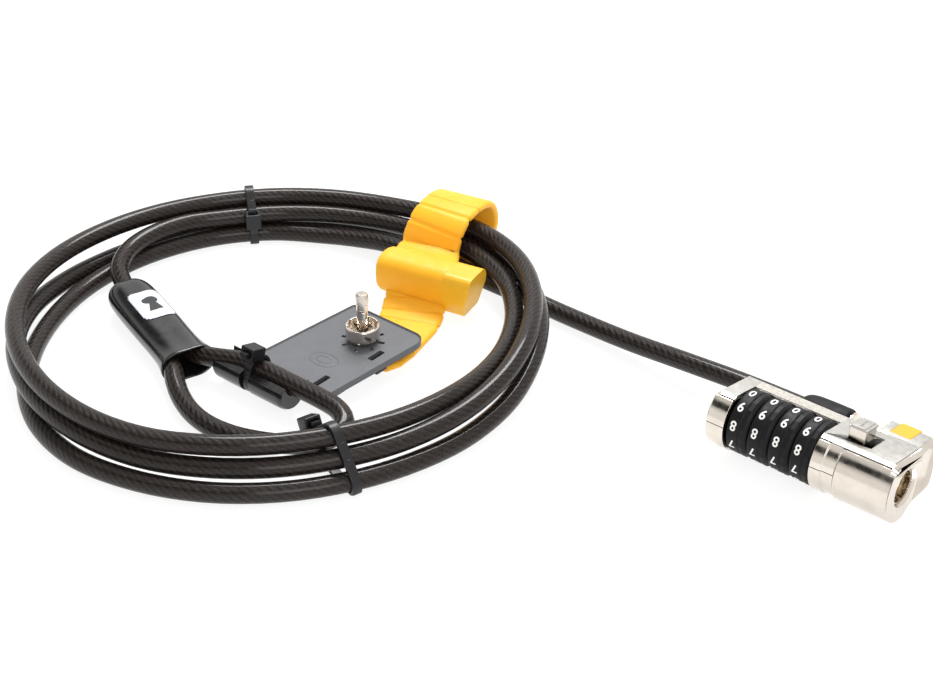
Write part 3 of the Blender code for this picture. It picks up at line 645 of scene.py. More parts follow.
def make_tube(name, path, radius, sides):
    """Round tube along a path. Its UV map holds the turn round it and the millimetres along it."""
    bm = bmesh.new()
    uv = bm.loops.layers.uv.new("UVMap")
    tangents = [(b - a).normalized() for a, b in zip([path[0], *path[:-1]], [*path[1:], path[-1]])]
    across = tangents[0].cross(Vector((0, 0, 1))).normalized()
    walked = 0.0
    rings = []
    for i, (point, tangent) in enumerate(zip(path, tangents)):
        across = (across - tangent * across.dot(tangent)).normalized()
        up = tangent.cross(across)
        walked += (point - path[i - 1]).length if i else 0.0
        ring = []
        for k in range(sides):
            angle = TAU * k / sides
            bulge = 1 + 0.005 * math.sin(STRANDS * (angle - TAU * walked / STRAND_LAY))
            outwards = across * math.cos(angle) + up * math.sin(angle)
            ring.append(bm.verts.new(point + radius * bulge * outwards))
        rings.append((ring, walked))
    for (first, start), (second, end) in zip(rings, rings[1:]):
        for k in range(sides):
            face = bm.faces.new((first[k], first[(k + 1) % sides], second[(k + 1) % sides], second[k]))
            for loop, place in zip(face.loops, ((k, start), (k + 1, start), (k + 1, end), (k, end))):
                loop[uv].uv = (place[0] / sides, place[1])
    for ring, distance in (rings[0], rings[-1]):
        for loop in bm.faces.new(ring).loops:
            loop[uv].uv = (0.5, distance)
    return add_object(name, bm)


CABLE_PATH = smooth_path(cable_route(), CABLE_SPACING)


def make_cable():
    cable = make_tube("cable", CABLE_PATH, CABLE_RADIUS, CABLE_SIDES)
    nodes = ("cable_lead", "cable_coil", "cable_tail", "cable_eye")
    return own(cable, cable_jacket(), "cable", nodes)


# ---------------------------------------------------------------- lock head


def case_section(low, high, radius=BARREL_RADIUS, back=BACK_Y, steps=40):
    """The case's section between two heights: round in front and below, flat on top and at the back."""
    start = 180 - math.degrees(math.asin(min(high / radius, 1)))
    end = 284 if low < SPLIT_Z else 180 - math.degrees(math.asin(low / radius))
    return [(back, high), *arc((0, 0), radius, start, end, steps), (back, low)]


def window_cutter():
    reach = WHEEL_RADIUS + 0.35
    angle = math.degrees(math.acos(WINDOW_FRONT_Y / reach))
    outline = arc((0, WHEEL_AXIS_Z), reach, -angle, angle, 48)
    outline += [(WINDOW_FRONT_Y, 14), (-14, 14), (-14, -14), (WINDOW_FRONT_Y, -14)]
    return prism(outline, *WINDOW)


def make_case(metal):
    """Upper and lower case: end collar, the wheels' window and a slimmer ring before the nose."""
    stations = ((-53.2, -0.5), (-53.05, -0.15), (-52.7, 0.0), (-19.0, 0.0), (-18.8, -0.4), (-15.5, -0.4))
    for name, low, high in (
        ("upper_case", SPLIT_Z + SEAM / 2, CASE_TOP),
        ("lower_case", BACK_BOTTOM_Z, SPLIT_Z - SEAM / 2),
    ):
        rings = []
        for x, step in stations:
            section = case_section(low, high, BARREL_RADIUS + step, BACK_Y + min(step, 0) / 2)
            rings.append([(x, y, z) for y, z in section])
        case = add_object(name + "_shell", loft(rings), HEAD)
        screws = [rod(z - 10, z + 1.5, 1.6, 32, "Z", (x, y)) for x, y, z in SCREWS]
        tools = [window_cutter(), rod(-51.6, -15.0, 1.75, 32, centre=(0, WHEEL_AXIS_Z)), *screws]
        if name == "upper_case":
            tools.append(box(*BUTTON_PIT))
        carve(case, tools, HEAD)
        soften(case, 0.14, 2)
        own(case, metal, "head", (name,))


def make_top_plate(metal, strip_metal):
    """Flat satin top with a sloped front edge, the hole that the button slides in and a grained strip."""
    outline = [(BACK_Y, PLATE_LOW), (BACK_Y, PLATE_TOP), (-4.8, PLATE_TOP)]
    outline += [(-6.2, PLATE_LOW + 0.15), (-6.2, PLATE_LOW)]
    plate = add_object("top_cover", prism(outline, -HEAD_LENGTH + 0.4, -1.9), HEAD)
    carve(plate, [window_cutter(), box((-16.9, -9.8), (-3.0, 4.7), (5.0, 9.0))], HEAD)
    split_across(plate, WINDOW)
    soften(plate, 0.16, 2)
    own(plate, metal, "head", ("top_plate",))
    second_material(plate, strip_metal, lambda at, normal: (
        WINDOW[0] - 0.4 < at.x < WINDOW[1] + 0.4 and at.y > WINDOW_FRONT_Y - 0.6
    ))
    rim = rounded_frame((-16.6, -9.9), (-2.9, 4.6), 0.55, 6.75, 7.35)
    piece("button_frame", rim, NICKEL, "head", place=HEAD, edge=(0.12, 2))
    floor = box((-16.8, -9.9), (-2.95, 4.65), (6.43, 7.35))
    hole = box((-16.95, -11.85), (-2.7, 3.5), (6, 8))
    piece("button_well", floor, SATIN, "head", place=HEAD, tools=[hole], edge=(0.05, 2))


def split_across(obj, places):
    """Splits a mesh at planes across the head, so that the faces between them can have their own material."""
    bm = bmesh.new()
    bm.from_mesh(obj.data)
    for x in places:
        geometry = [*bm.verts, *bm.edges, *bm.faces]
        bmesh.ops.bisect_plane(bm, geom=geometry, plane_co=((HEAD_X + x) * MM, 0, 0), plane_no=(1, 0, 0))
    bm.to_mesh(obj.data)
    bm.free()


def rounded_frame(x, y, width, low, high):
    """A thin rectangular frame."""
    outer = rectangle(x, y)
    inner = rectangle((x[0] + width, x[1] - width), (y[0] + width, y[1] - width))
    loops = [(outer, low), (outer, high), (inner, high), (inner, low)]
    return loft([[(a, b, level) for a, b in shape] for shape, level in loops], closed=True)


def round_end(bm, x, offset, segments, past=-100):
    """Rounds the edges that lie in the plane at x, beyond the given Y."""
    ends = [e for e in bm.edges if all(abs(v.co.x - x) < 1e-6 and v.co.y > past for v in e.verts)]
    bmesh.ops.bevel(bm, geom=ends, offset=offset, segments=segments, profile=0.5, affect="EDGES")


def second_material(obj, material, wanted):
    """Puts another material on the faces picked by their centre, in the head's axes, and their normal."""
    obj.data.materials.append(material)
    inverse = HEAD.inverted()
    for face in obj.data.polygons:
        if wanted(inverse @ (face.center / MM), face.normal):
            face.material_index = 1


def make_nose(metal):
    """Key end: the round barrel with the key's bore, and the lug with the anchor's socket behind it."""
    section = case_section(BACK_BOTTOM_Z, CASE_TOP, steps=56)
    stations = (-NOSE_LENGTH, -15.0, -14.2, -11.0, -7.0, -4.0, 0.0)
    barrel = loft([[(x, y, z) for y, z in section] for x in stations])
    round_end(barrel, 0.0, 2.1, 7)
    nose = add_object("nose_shell", barrel, HEAD)
    outline = [(BACK_Y - 1.0, PLATE_TOP), *reversed(arc((LUG_BACK - 2.4, PLATE_TOP - 2.4), 2.4, 0, 90, 8))]
    outline += reversed(arc((LUG_BACK - 2.0, LUG_BOTTOM + 2.0), 2.0, 285, 360, 8))
    outline += [(3.0, -8.6), (3.0, CASE_TOP - 1.0), (BACK_Y - 1.0, CASE_TOP - 1.0)]
    for i, (y, z) in enumerate(outline):
        if y <= BACK_Y + 0.2 and z >= PLATE_LOW:
            outline[i] = (BACK_Y + 0.15, z)
    lug = prism(outline, *LUG_X)
    round_end(lug, LUG_X[1], 2.0, 6, past=7)
    brow = prism(case_section(5.4, PLATE_TOP - 0.1, steps=20), -1.78, 0)
    round_end(brow, 0.0, 1.5, 6)
    carve(nose, [lug, brow], HEAD, "UNION")
    at = (SOCKET_X, SOCKET_Z)
    mouth = [(-16.0, 0), (-16.0, 4.85), (-0.7, 4.85), (1.0, 6.2), (1.0, 0)]
    socket = [(-4.6, 0), (-4.6, 5.6), (-0.5, 5.6), (1.0, 7.0), (1.0, 0)]
    socket = [(LUG_BACK + along, radius) for along, radius in socket]
    tools = [
        turned(mouth, 64),
        turned(socket, 64, "Y", at),
        rod(6.6, LUG_BACK, 2.2, 32, "Y", at),
        box(*BUTTON_PIT),
        box((-12.6, -1.9), (4.0, 10.0), (5.1, 6.75)),
        box((-6.5, -1.9), (8.3, 10.0), (-2.2, 6.0)),
        box((-11.65, -5.6), (10.15, 17.65), (6.7, 9.0)),
    ]
    carve(nose, tools, HEAD)
    soften(nose, 0.13, 2)
    own(nose, metal, "head", ("nose_housing",))
    upright = HEAD.to_3x3() @ Vector((0, 0, 1))
    second_material(nose, SATIN, lambda at, normal: (
        normal.dot(upright) > 0.97 and at.z > PLATE_TOP - 0.4 and at.y > BACK_Y
    ))


def make_insert(material):
    """Yellow inlay in the lug's top, slightly crowned."""
    inlay = box((-11.5, -5.75), (10.3, 17.5), (6.85, 7.82))
    piece("lug_inlay", inlay, material, "head", ("lug_insert",), HEAD, edge=(0.28, 3))


def make_button(metal, body_metal):
    """Release button: an upright bright block with a satin cap, stepped at its sides and grooved across."""
    block = box((-16.75, -12.05), (-2.5, 3.3), (6.7, 11.4))
    piece("button_block", block, body_metal, "button", ("release_button",), HEAD, edge=(0.25, 3))
    cap = box((-17.0, -11.8), (-2.65, 3.45), (11.05, 11.85))
    steps = [box((-17.5, -16.1), (-3, 5), (11.6, 12.2)), box((-12.6, -11.5), (-3, 5), (11.6, 12.2))]
    steps.append(box((-14.5, -14.15), (-1.6, 2.4), (11.65, 12.2)))
    piece("button_cap", cap, metal, "button", place=HEAD, tools=steps, edge=(0.14, 3))


def make_key_plug(brass):
    """Turned brass plug with a ring groove and the keyway."""
    profile = [(-14.9, 0), (-14.9, 4.1), (-14.2, 4.1), (-14.2, 3.3), (-13.3, 3.3), (-13.3, 4.1)]
    profile += [(-3.3, 4.1), (-3.0, 3.9), (-3.0, 3.4), (-5.0, 3.2), (-5.0, 2.5), (-3.6, 2.3), (-3.6, 0)]
    keyway = box((-6.5, -1.0), (-0.6, 0.6), (-2.9, 2.9))
    piece("key_core", turned(profile, 64), brass, "key", ("key_plug",), HEAD, [keyway], (0.08, 2))


def wheel_radius(along, radius, angle):
    """Twenty flats on the gripping band of a wheel, a plain round everywhere else."""
    if not GRIP_BAND[0] <= along <= GRIP_BAND[1] or radius < 8:
        return radius
    sector = TAU / WHEEL_FLATS
    within = (angle + sector / 2) % sector - sector / 2
    return radius * math.cos(sector / 2) / math.cos(within)


def make_wheels(black, ink):
    """Number wheels: a smooth band that carries the digits, and a gripping band with flats beside it."""
    half = WHEEL_WIDTH / 2 + 0.07
    rim = WHEEL_RADIUS
    band = [(-half, 4.7), (-half, rim - 0.75), (-half + 0.25, rim - 0.35), (-half + 0.6, rim - 0.12)]
    band += [(-half + 1.0, rim - 0.05), (0.45, rim - 0.05), (0.62, rim - 0.2), (0.85, rim - 0.22)]
    band += [(1.0, rim), (2.1, rim), (2.3, rim - 0.15)]
    band += [(half - 0.25, rim - 0.5), (half, rim - 0.85), (half, 4.7)]
    for i in range(4):
        place = HEAD @ Matrix.Translation((WHEEL_FIRST_X + i * WHEEL_PITCH, 0, WHEEL_AXIS_Z))
        wheel = add_object(f"dial_{i + 1}", turned(band, 240, radius_at=wheel_radius), place)
        wheel.data.set_sharp_from_angle(angle=math.radians(30))
        own(wheel, black, f"wheel_{i + 1}", (f"number_wheel_{i + 1}",))
        digits = make_digits(f"dial_digits_{i + 1}", place, DIGIT_ZERO_AT - DIGIT_DRIFT * i)
        own(digits, ink, f"wheel_{i + 1}")


def make_digits(name, place, zero_at):
    """The ten digits wrapped round one wheel, each standing a little proud of the band."""
    bm = bmesh.new()
    for digit in range(10):
        text = bpy.data.curves.new("digit", "FONT")
        text.body = str(digit)
        text.align_x = "CENTER"
        text.align_y = "CENTER"
        text.size = DIGIT_HEIGHT / DIGIT_HEIGHT_OF_SIZE
        text.offset = 0.055
        text.resolution_u = 6
        holder = bpy.data.objects.new("digit", text)
        bpy.context.scene.collection.objects.link(holder)
        graph = bpy.context.evaluated_depsgraph_get()
        mesh = bpy.data.meshes.new_from_object(holder.evaluated_get(graph), depsgraph=graph)
        bpy.data.objects.remove(holder, do_unlink=True)
        flat = bmesh.new()
        flat.from_mesh(mesh)
        bmesh.ops.remove_doubles(flat, verts=flat.verts, dist=0.001)
        for axis in (0, 1):
            places = [vert.co[axis] for vert in flat.verts]
            for vert in flat.verts:
                vert.co[axis] -= (min(places) + max(places)) / 2
        for k in range(-5, 6):
            geometry = [*flat.verts, *flat.edges, *flat.faces]
            bmesh.ops.bisect_plane(flat, geom=geometry, plane_co=(0, 0.25 * k, 0), plane_no=(0, 1, 0))
        extruded = bmesh.ops.extrude_face_region(flat, geom=flat.faces[:])
        for vert in (g for g in extruded["geom"] if isinstance(g, bmesh.types.BMVert)):
            vert.co.z += 0.12
        turn = math.radians(zero_at + DIGIT_STEP * ((10 - digit) % 10))
        for vert in flat.verts:
            x, y, lift = vert.co
            angle = turn + y / WHEEL_RADIUS
            reach = WHEEL_RADIUS - 0.1 + lift
            vert.co = (-1.05 - x * 0.92, reach * math.cos(angle), reach * math.sin(angle))
        flat.to_mesh(mesh)
        flat.free()
        bm.from_mesh(mesh)
        bpy.data.meshes.remove(mesh)
    digits = add_object(name, bm, place)
    digits.data.set_sharp_from_angle(angle=math.radians(40))
    return digits


def make_swivel(rubber, metal):
    """Boot over the cable's end and the ferrule behind it."""
    profile = [(-5.2, 2.9), (-5.2, 4.0), (-5.5, 4.45), (-6.0, 4.6), (-11.0, 4.6), (-15.2, 4.5)]
    profile += [(-17.2, 4.25), (-18.4, 3.8), (-19.05, 3.3), (-19.2, 2.9)]
    boot = turned(profile, 64)
    piece("strain_boot", boot, rubber, "cable", ("cable_boot",), SWIVEL, edge=(0.12, 2, 40))
    profile = [(-2.6, 0), (-2.6, 1.3), (-4.0, 1.3), (-4.0, 3.9), (-4.25, 4.2), (-4.7, 4.2)]
    profile += [(-4.9, 4.0), (-4.9, 0)]
    ferrule = add_object("cable_end_ferrule", turned(profile, 48), SWIVEL)
    ferrule.data.set_sharp_from_angle(angle=math.radians(35))
    own(ferrule, metal, "cable", ("cable_ferrule",))


# ---------------------------------------------------------------- crimp sleeve and ties


SLEEVE_STATIONS = [
    (0.0, 3.4, 2.6), (0.25, 4.4, 3.3), (1.2, 5.6, 3.9), (3.0, 6.6, 4.3), (6.0, 7.1, 4.5),
    (14.0, 7.2, 4.5), (26.0, 7.2, 4.45), (34.0, 7.0, 4.35), (40.0, 7.2, 4.45), (43.5, 7.9, 4.9),
    (45.0, 8.3, 5.2), (45.7, 8.3, 5.2),
]
SLEEVE_INNER = [(45.8, 7.9, 4.8), (45.0, 7.4, 4.3), (42.0, 6.9, 3.9), (36.0, 6.6, 3.6)]


def sleeve_frame():
    along = (SLEEVE_END - SLEEVE_START).normalized()
    side = Vector((along.y, -along.x, 0)).normalized()
    return along, side, side.cross(along)


def sleeve_point(distance, half_width, half_height, angle):
    """Oval section, a little pinched in the middle where the sleeve closes between the two runs."""
    along, side, up = sleeve_frame()
    across = half_width * signed_power(math.cos(angle), 0.85)
    pinch = 1 - 0.07 * math.exp(-((math.cos(angle) / 0.28) ** 2))
    raised = half_height * signed_power(math.sin(angle), 0.9) * pinch
    return SLEEVE_START + along * distance + side * across + up * raised


def make_sleeve(gloss, print_material):
    """Crimp sleeve: rounded where the tail goes in, flared open where the eye's two runs come out."""
    angles = [TAU * k / 64 for k in range(64)]
    rings = [[sleeve_point(d, w, h, a) for a in angles] for d, w, h in SLEEVE_STATIONS + SLEEVE_INNER]
    sleeve = add_object("crimp_ferrule", loft(rings))
    levels = sleeve.modifiers.new("round", "SUBSURF")
    levels.levels = levels.render_levels = 1
    settle(sleeve)
    sleeve.data.shade_smooth()
    own(sleeve, gloss, "cable", ("crimp_sleeve",))
    bm = bmesh.new()
    uv = bm.loops.layers.uv.new("UVMap")
    columns, rows = 24, 30
    points = {}
    for i in range(columns + 1):
        for j in range(rows + 1):
            angle = math.radians(62 + 76 * i / columns)
            distance = 10.5 + LABEL_LENGTH * j / rows
            outside = sleeve_point(distance, 7.28, 4.58, angle)
            points[i, j] = bm.verts.new(outside)
    for i in range(columns):
        for j in range(rows):
            corner = min(i, columns - 1 - i) / 3, min(j, rows - 1 - j) / 3
            if corner[0] < 1 and corner[1] < 1 and (1 - corner[0]) ** 2 + (1 - corner[1]) ** 2 > 1.0:
                continue
            face = bm.faces.new((points[i, j], points[i + 1, j], points[i + 1, j + 1], points[i, j + 1]))
            for loop, (a, b) in zip(face.loops, ((i, j), (i + 1, j), (i + 1, j + 1), (i, j + 1))):
                loop[uv].uv = (a / columns, b / rows)
    loose = [v for v in bm.verts if not v.link_faces]
    bmesh.ops.delete(bm, geom=loose, context="VERTS")
    printed = add_object("sleeve_print", bm)
    thick = printed.modifiers.new("film", "SOLIDIFY")
    thick.thickness = 0.00005
    thick.offset = 1
    settle(printed)
    own(printed, print_material, "cable")


def hull(points):
    """Convex outline round points, counter-clockwise."""
    ordered = sorted(set(points))
    outline = []
    for run in (ordered, ordered[::-1]):
        part = []
        for p in run:
            while len(part) > 1 and (part[-1][0] - part[-2][0]) * (p[1] - part[-2][1]) <= (
                part[-1][1] - part[-2][1]
            ) * (p[0] - part[-2][0]):
                part.pop()
            part.append(p)
        outline += part[:-1]
    return outline


def strands_at(angle):
    """Radius and height of each turn of the coil that passes at this angle."""
    places = []
    while angle < TURNS[-1][0]:
        if angle > TURNS[0][0]:
            places.append(tuple(ease(TURNS, angle)))
        angle += 360
    return places


def tie_loop(places, clearance, thickness, floor):
    """Inner and outer outline of a band round strands, evenly spaced and flat on the floor."""
    loops = []
    for reach in (CABLE_RADIUS + clearance, CABLE_RADIUS + clearance + thickness):
        circles = [p for place in places for p in arc(place, reach, 0, 360, 48)[:-1]]
        outline = np.array([*hull([(round(a, 5), round(b, 5)) for a, b in circles])])
        outline = np.vstack([outline, outline[:1]])
        walked = distances(outline)
        even = np.linspace(0, walked[-1], 97)[:-1]
        outline[:, 1] = np.maximum(outline[:, 1], floor + (0.8 if not loops else 0.05))
        loops.append(list(zip(*(np.interp(even, walked, outline[:, k]) for k in range(2)))))
    return loops


def coil_frame(angle):
    """Matrix with X along the ring, Y outwards from the pole and Z up, at an angle of the coil."""
    return Matrix.Translation((*COIL_POLE, 0)) @ Matrix.Rotation(math.radians(angle - 90), 4, "Z")


def make_tie(name, places, frame_at, head_at, head_turn, nylon, node, width=2.7):
    """Cable tie: the band, its square head with the ratchet's window, and the cut end."""
    inner, outer = tie_loop(places, 0.12, 1.15, -frame_at.translation.z)
    nearest = [min(outer, key=lambda q, p=p: (p[0] - q[0]) ** 2 + (p[1] - q[1]) ** 2) for p in inner]
    rings = []
    for shape, side in ((inner, -1), (nearest, -1), (nearest, 1), (inner, 1)):
        rings.append([(side * width / 2, a, b) for a, b in shape])
    band = loft(rings, closed=True)
    band = piece(name + "_band", band, nylon, "cable", (node,), frame_at, edge=(0.2, 2, 50))
    place = frame_at @ Matrix.Translation((0, *head_at)) @ Matrix.Rotation(math.radians(head_turn), 4, "X")
    head = box((-2.35, 2.35), (-1.9, 1.9), (-2.5, 2.5))
    windows = [box((-1.5, 1.5), (-0.9, 0.9), z) for z in ((-3, -1.7), (1.9, 3))]
    head = piece(name + "_head", head, nylon, "cable", place=place, tools=windows, edge=(0.3, 3))
    stub = box((-1.25, 1.25), (-0.55, 0.55), (-3.4, 3.9))
    stub = piece(name + "_stub", stub, nylon, "cable", place=place, edge=(0.15, 2))
    return [band, head, stub]


def make_ties(nylon):
    eye_run = (55.3, 5.6)
    strands, frame_at = strands_at(TIE_BACK_AT), coil_frame(TIE_BACK_AT)
    pieces = make_tie("tie_back", strands, frame_at, (61.2, 8.6), 0, nylon, "cable_tie_back")
    to_strands = Matrix.Translation((0, 71, 0))
    skewed = coil_frame(TIE_FRONT_AT) @ to_strands @ Matrix.Rotation(math.radians(14), 4, "Z")
    skewed = skewed @ Matrix.Translation((0, -71, 0))
    strands = strands_at(TIE_FRONT_AT) + [eye_run]
    pieces += make_tie("tie_front", strands, skewed, (51.4, 9.6), -62, nylon, "cable_tie_front")
    card_frame = Matrix.Translation((-137.0, GUTTER_Y, GUTTER_Z))
    gutter_places = [(0, 0), (-0.7, -3.6)]
    pieces += make_tie("tie_card", gutter_places, card_frame, (-1.2, 5.2), 74, nylon, "cable_tie_card")
    return pieces


# ---------------------------------------------------------------- strap, card and anchor


def strap_section(width, thickness, steps=5):
    """Outline of a flat strap with round edges, as (across, up) points."""
    radius = thickness / 2
    half = width / 2 - radius
    return arc((half, 0), radius, -90, 90, steps) + arc((-half, 0), radius, 90, 270, steps)


def make_strap_run(name, stations, silicone_material, grooved, pitch, node):
    """Strap along stations (x, y, z, width, turn of its across direction), grooved across at even steps."""
    path = smooth_path([s[:3] for s in stations], 0.35)
    walk = np.concatenate([[0], np.cumsum([(b - a).length for a, b in zip(path, path[1:])])])
    knot_walk = distances(np.array([s[:3] for s in stations]))
    knot_walk *= walk[-1] / knot_walk[-1]
    rings = []
    for i, (point, distance) in enumerate(zip(path, walk)):
        tangent = (path[min(i + 1, len(path) - 1)] - path[max(i - 1, 0)]).normalized()
        width = np.interp(distance, knot_walk, [s[3] for s in stations])
        turn = math.radians(np.interp(distance, knot_walk, [s[4] for s in stations]))
        across = Vector((math.cos(turn), math.sin(turn), 0))
        across = (across - tangent * across.dot(tangent)).normalized()
        up = across.cross(tangent)
        groove = groove_at(distance / walk[-1], distance, grooved, pitch)
        section = strap_section(width - 1.1 * groove, STRAP_THICKNESS - 0.75 * groove)
        rings.append([point + across * a + up * b for a, b in section])
    run = add_object(name, loft(rings))
    run.data.set_sharp_from_angle(angle=math.radians(60))
    own(run, silicone_material, "cable", (node,))
    return run


def groove_at(share, distance, grooved, pitch):
    """Depth of the cross groove at a place along the strap, 0 outside its grooved share."""
    if not grooved[0] < share < grooved[1]:
        return 0.0
    return max(0.0, math.cos(TAU * distance / pitch)) ** 6


# Strap centre lines: x, y, height, width and the turn of its across direction
STRAP_LOOP = [
    (-134.6, -4.0, 4.2, 20.0, 13), (-137.2, 3.0, 1.9, 20.0, 13), (-140.6, 13.0, 1.6, 20.0, 12),
    (-143.8, 22.0, 1.7, 19.5, 11), (-146.3, 29.4, 3.4, 19.0, 11), (-146.0, 33.4, 8.0, 18.6, 12),
    (-145.2, 32.6, 13.5, 18.5, 12), (-144.4, 29.6, 17.4, 18.5, 12), (-143.5, 24.9, 19.1, 18.5, 12),
    (-142.5, 19.6, 19.4, 18.5, 12), (-141.8, 15.4, 18.6, 18.6, 12), (-141.6, 12.2, 16.0, 18.8, 12),
    (-141.6, 10.5, 13.0, 19.0, 12), (-141.6, 9.2, 10.6, 19.4, 12), (-140.2, 6.0, 9.8, 20.0, 12),
    (-136.8, 0.8, 10.1, 20.2, 12),
]
STRAP_TAIL = [
    (-134.5, -4.0, 6.0, 18.8, 14), (-132.2, -8.4, 3.6, 19.0, 17), (-129.7, -12.6, 1.8, 19.0, 20),
    (-127.4, -17.2, 1.3, 18.6, 20), (-124.8, -24.4, 1.3, 17.4, 18), (-122.2, -31.0, 1.3, 15.6, 16),
    (-120.0, -36.4, 1.25, 12.0, 16), (-118.8, -39.6, 1.2, 6.5, 16),
]


def make_strap(material):
    """Silicone strap: the loop round the coil, the rolled clasp in front and the tail under the card."""
    loop = make_strap_run("strap_loop", STRAP_LOOP, material, (0.70, 0.93), 5.6, "strap_band")
    tail = make_strap_run("strap_end", STRAP_TAIL, material, (0.0, 0.45), 5.2, "strap_tail")
    place = Matrix.Translation((-131.3, -2.9, 8.3)) @ Matrix.Rotation(math.radians(12), 4, "Z")
    stations = [
        (-16.0, 3.4, 3.6), (-15.8, 4.6, 4.9), (-15.3, 5.4, 5.7), (-14.3, 6.0, 6.2), (-12.0, 6.2, 6.4),
        (5.0, 6.2, 6.4), (7.2, 6.1, 6.3), (7.8, 5.8, 6.0),
    ]
    rings = []
    for x, half_width, half_height in stations:
        ring = []
        for k in range(48):
            a = TAU * k / 48
            y, z = signed_power(math.cos(a), 0.75), signed_power(math.sin(a), 0.75)
            ring.append((x, half_width * y, half_height * z))
        rings.append(ring)
    roll = loft(rings)
    roll = piece("strap_roll", roll, material, "cable", ("strap_clasp",), place, edge=(0.15, 2, 50))
    corners = [(-5.4, 6.2, 2.6), (-6.2, -2.0, 3.0), (-4.6, -6.6, 1.6), (4.2, -6.4, 1.8)]
    outline = rounded_outline([*corners, (6.0, 1.0, 3.0), (4.6, 6.2, 2.4)])
    block = prism(outline, 7.4, 16.0)
    wedge = prism([(13.4, -8.0), (17.5, -8.0), (17.5, 3.5), (16.0, 3.5)], -8, 8, "Y")
    # The block is the strap's own yellow given in a slightly darker copy: painted shade on the clasp's block.
    shaded_yellow = plastic("yellow_block_painted_shade", (0.80, 0.42, 0.015), (0.90, 0.49, 0.022), (0.34, 0.48), 900)
    block = piece("strap_block", block, shaded_yellow, "cable", place=place, tools=[wedge], edge=(0.6, 4))
    return [loop, tail, roll, block]


def make_card(grey, black):
    """Carry card: a thin plate with a raised rim, slots, slits round the anchor and an embossed ring."""
    corners = [(-143.4, -62.4, 1.2), (-114.4, -64.9, 1.6), (-112.3, -25.8, 4.6), (-140.4, -25.8, 1.2)]
    outline = rounded_outline(corners)
    bm = prism(outline, CARD_Z[0], CARD_Z[1], "Z")
    bm.faces.ensure_lookup_table()
    top = max(bm.faces, key=lambda f: f.calc_center_median().z)
    bmesh.ops.inset_region(bm, faces=[top], thickness=0.75, depth=0)
    bmesh.ops.inset_region(bm, faces=[top], thickness=0.45, depth=0)
    for vert in top.verts:
        vert.co.z -= CARD_RECESS
    card = add_object("card_plate", bm)
    x, y = ANCHOR_AT
    low = CARD_Z[0] - 0.1
    tools = []
    for a, b in CARD_SLOTS:
        corners = rectangle((a - 0.95, a + 0.95), (b - 2.7, b + 2.7))
        tools.append(prism(rounded_outline([(*corner, 0.4) for corner in corners]), low, 9, "Z"))
    for k in range(8):
        turn = math.radians(22.5 + 45 * k)
        along = Vector((math.cos(turn), math.sin(turn)))
        across = Vector((-math.sin(turn), math.cos(turn))) * 0.55
        inner, outer = Vector((x, y)) + along * 4.2, Vector((x, y)) + along * 6.4
        slit = (inner - across, outer - across, outer + across, inner + across)
        tools.append(prism([tuple(corner) for corner in slit], low, 9, "Z"))
    tools.append(rod(2, 12, 1.75, 32, "Z", ANCHOR_AT))
    carve(card, tools)
    soften(card, 0.14, 2)
    own(card, grey, "cable", ("anchor_card",))
    pieces = [card]
    marks = bmesh.new()
    for radius_x, radius_y, wide in ((4.6, 3.0, 0.45), (2.4, 1.4, 0.4)):
        ring = []
        for k in range(64):
            a = TAU * k / 64
            c, s = math.cos(a), math.sin(a)
            section = [(-wide / 2, -0.1), (-wide / 2, 0.07), (wide / 2, 0.07), (wide / 2, -0.1)]
            ring.append([
                (-127.6 + (radius_x + r) * c, -52.0 + (radius_y + r) * s, CARD_Z[1] - CARD_RECESS + lift)
                for r, lift in section
            ])
        part = loft(ring, closed=True)
        mesh = bpy.data.meshes.new("mark")
        part.to_mesh(mesh)
        part.free()
        marks.from_mesh(mesh)
        bpy.data.meshes.remove(mesh)
    emblem = add_object("card_emboss", marks)
    soften(emblem, 0.05, 2)
    own(emblem, grey, "cable")
    pieces.append(emblem)
    for i, (a, b) in enumerate(((-115.4, -59.5), (-114.0, -44.0))):
        foot = box((a - 1.4, a + 0.9), (b - 2.2, b + 2.2), (4.2, 5.1))
        pieces.append(piece(f"card_foot_{i + 1}", foot, black, "cable", edge=(0.4, 3)))
    # Black plates under the two slots, which are cut through the card: painted shade that makes the slots
    # read dark and deep.
    for i, (a, b) in enumerate(CARD_SLOTS):
        floor = box((a - 1.5, a + 1.5), (b - 3.3, b + 3.3), (4.5, 4.98))
        pieces.append(piece(f"card_slot_{i + 1}", floor, black, "cable", edge=(0.1, 2)))
    rings = []
    stations = ((-149.4, -0.9), (-149.1, -0.3), (-148.3, 0.0), (-124.6, 0.0), (-123.6, -0.3), (-122.9, -1.0))
    for x, grow in stations:
        inner = arc((GUTTER_Y, GUTTER_Z), CABLE_RADIUS + 0.25 - grow * 0.1, 178, 372, 28)
        outer = arc((GUTTER_Y - 0.7, GUTTER_Z - 2.6), 4.9 + grow * 0.6, 385, 155, 28)
        rings.append([(x, a, b) for a, b in inner + outer])
    gap = rod(-138.7, -135.3, 8.0, 48, "X", (GUTTER_Y, GUTTER_Z))
    gutter = piece("card_gutter", loft(rings), black, "cable", tools=[gap], edge=(0.3, 2, 50))
    web = box((-142.8, -123.6), (-65.2, -62.0), (5.3, 6.7))
    web = piece("card_web", web, grey, "cable", edge=(0.2, 2))
    return [*pieces, gutter, web]


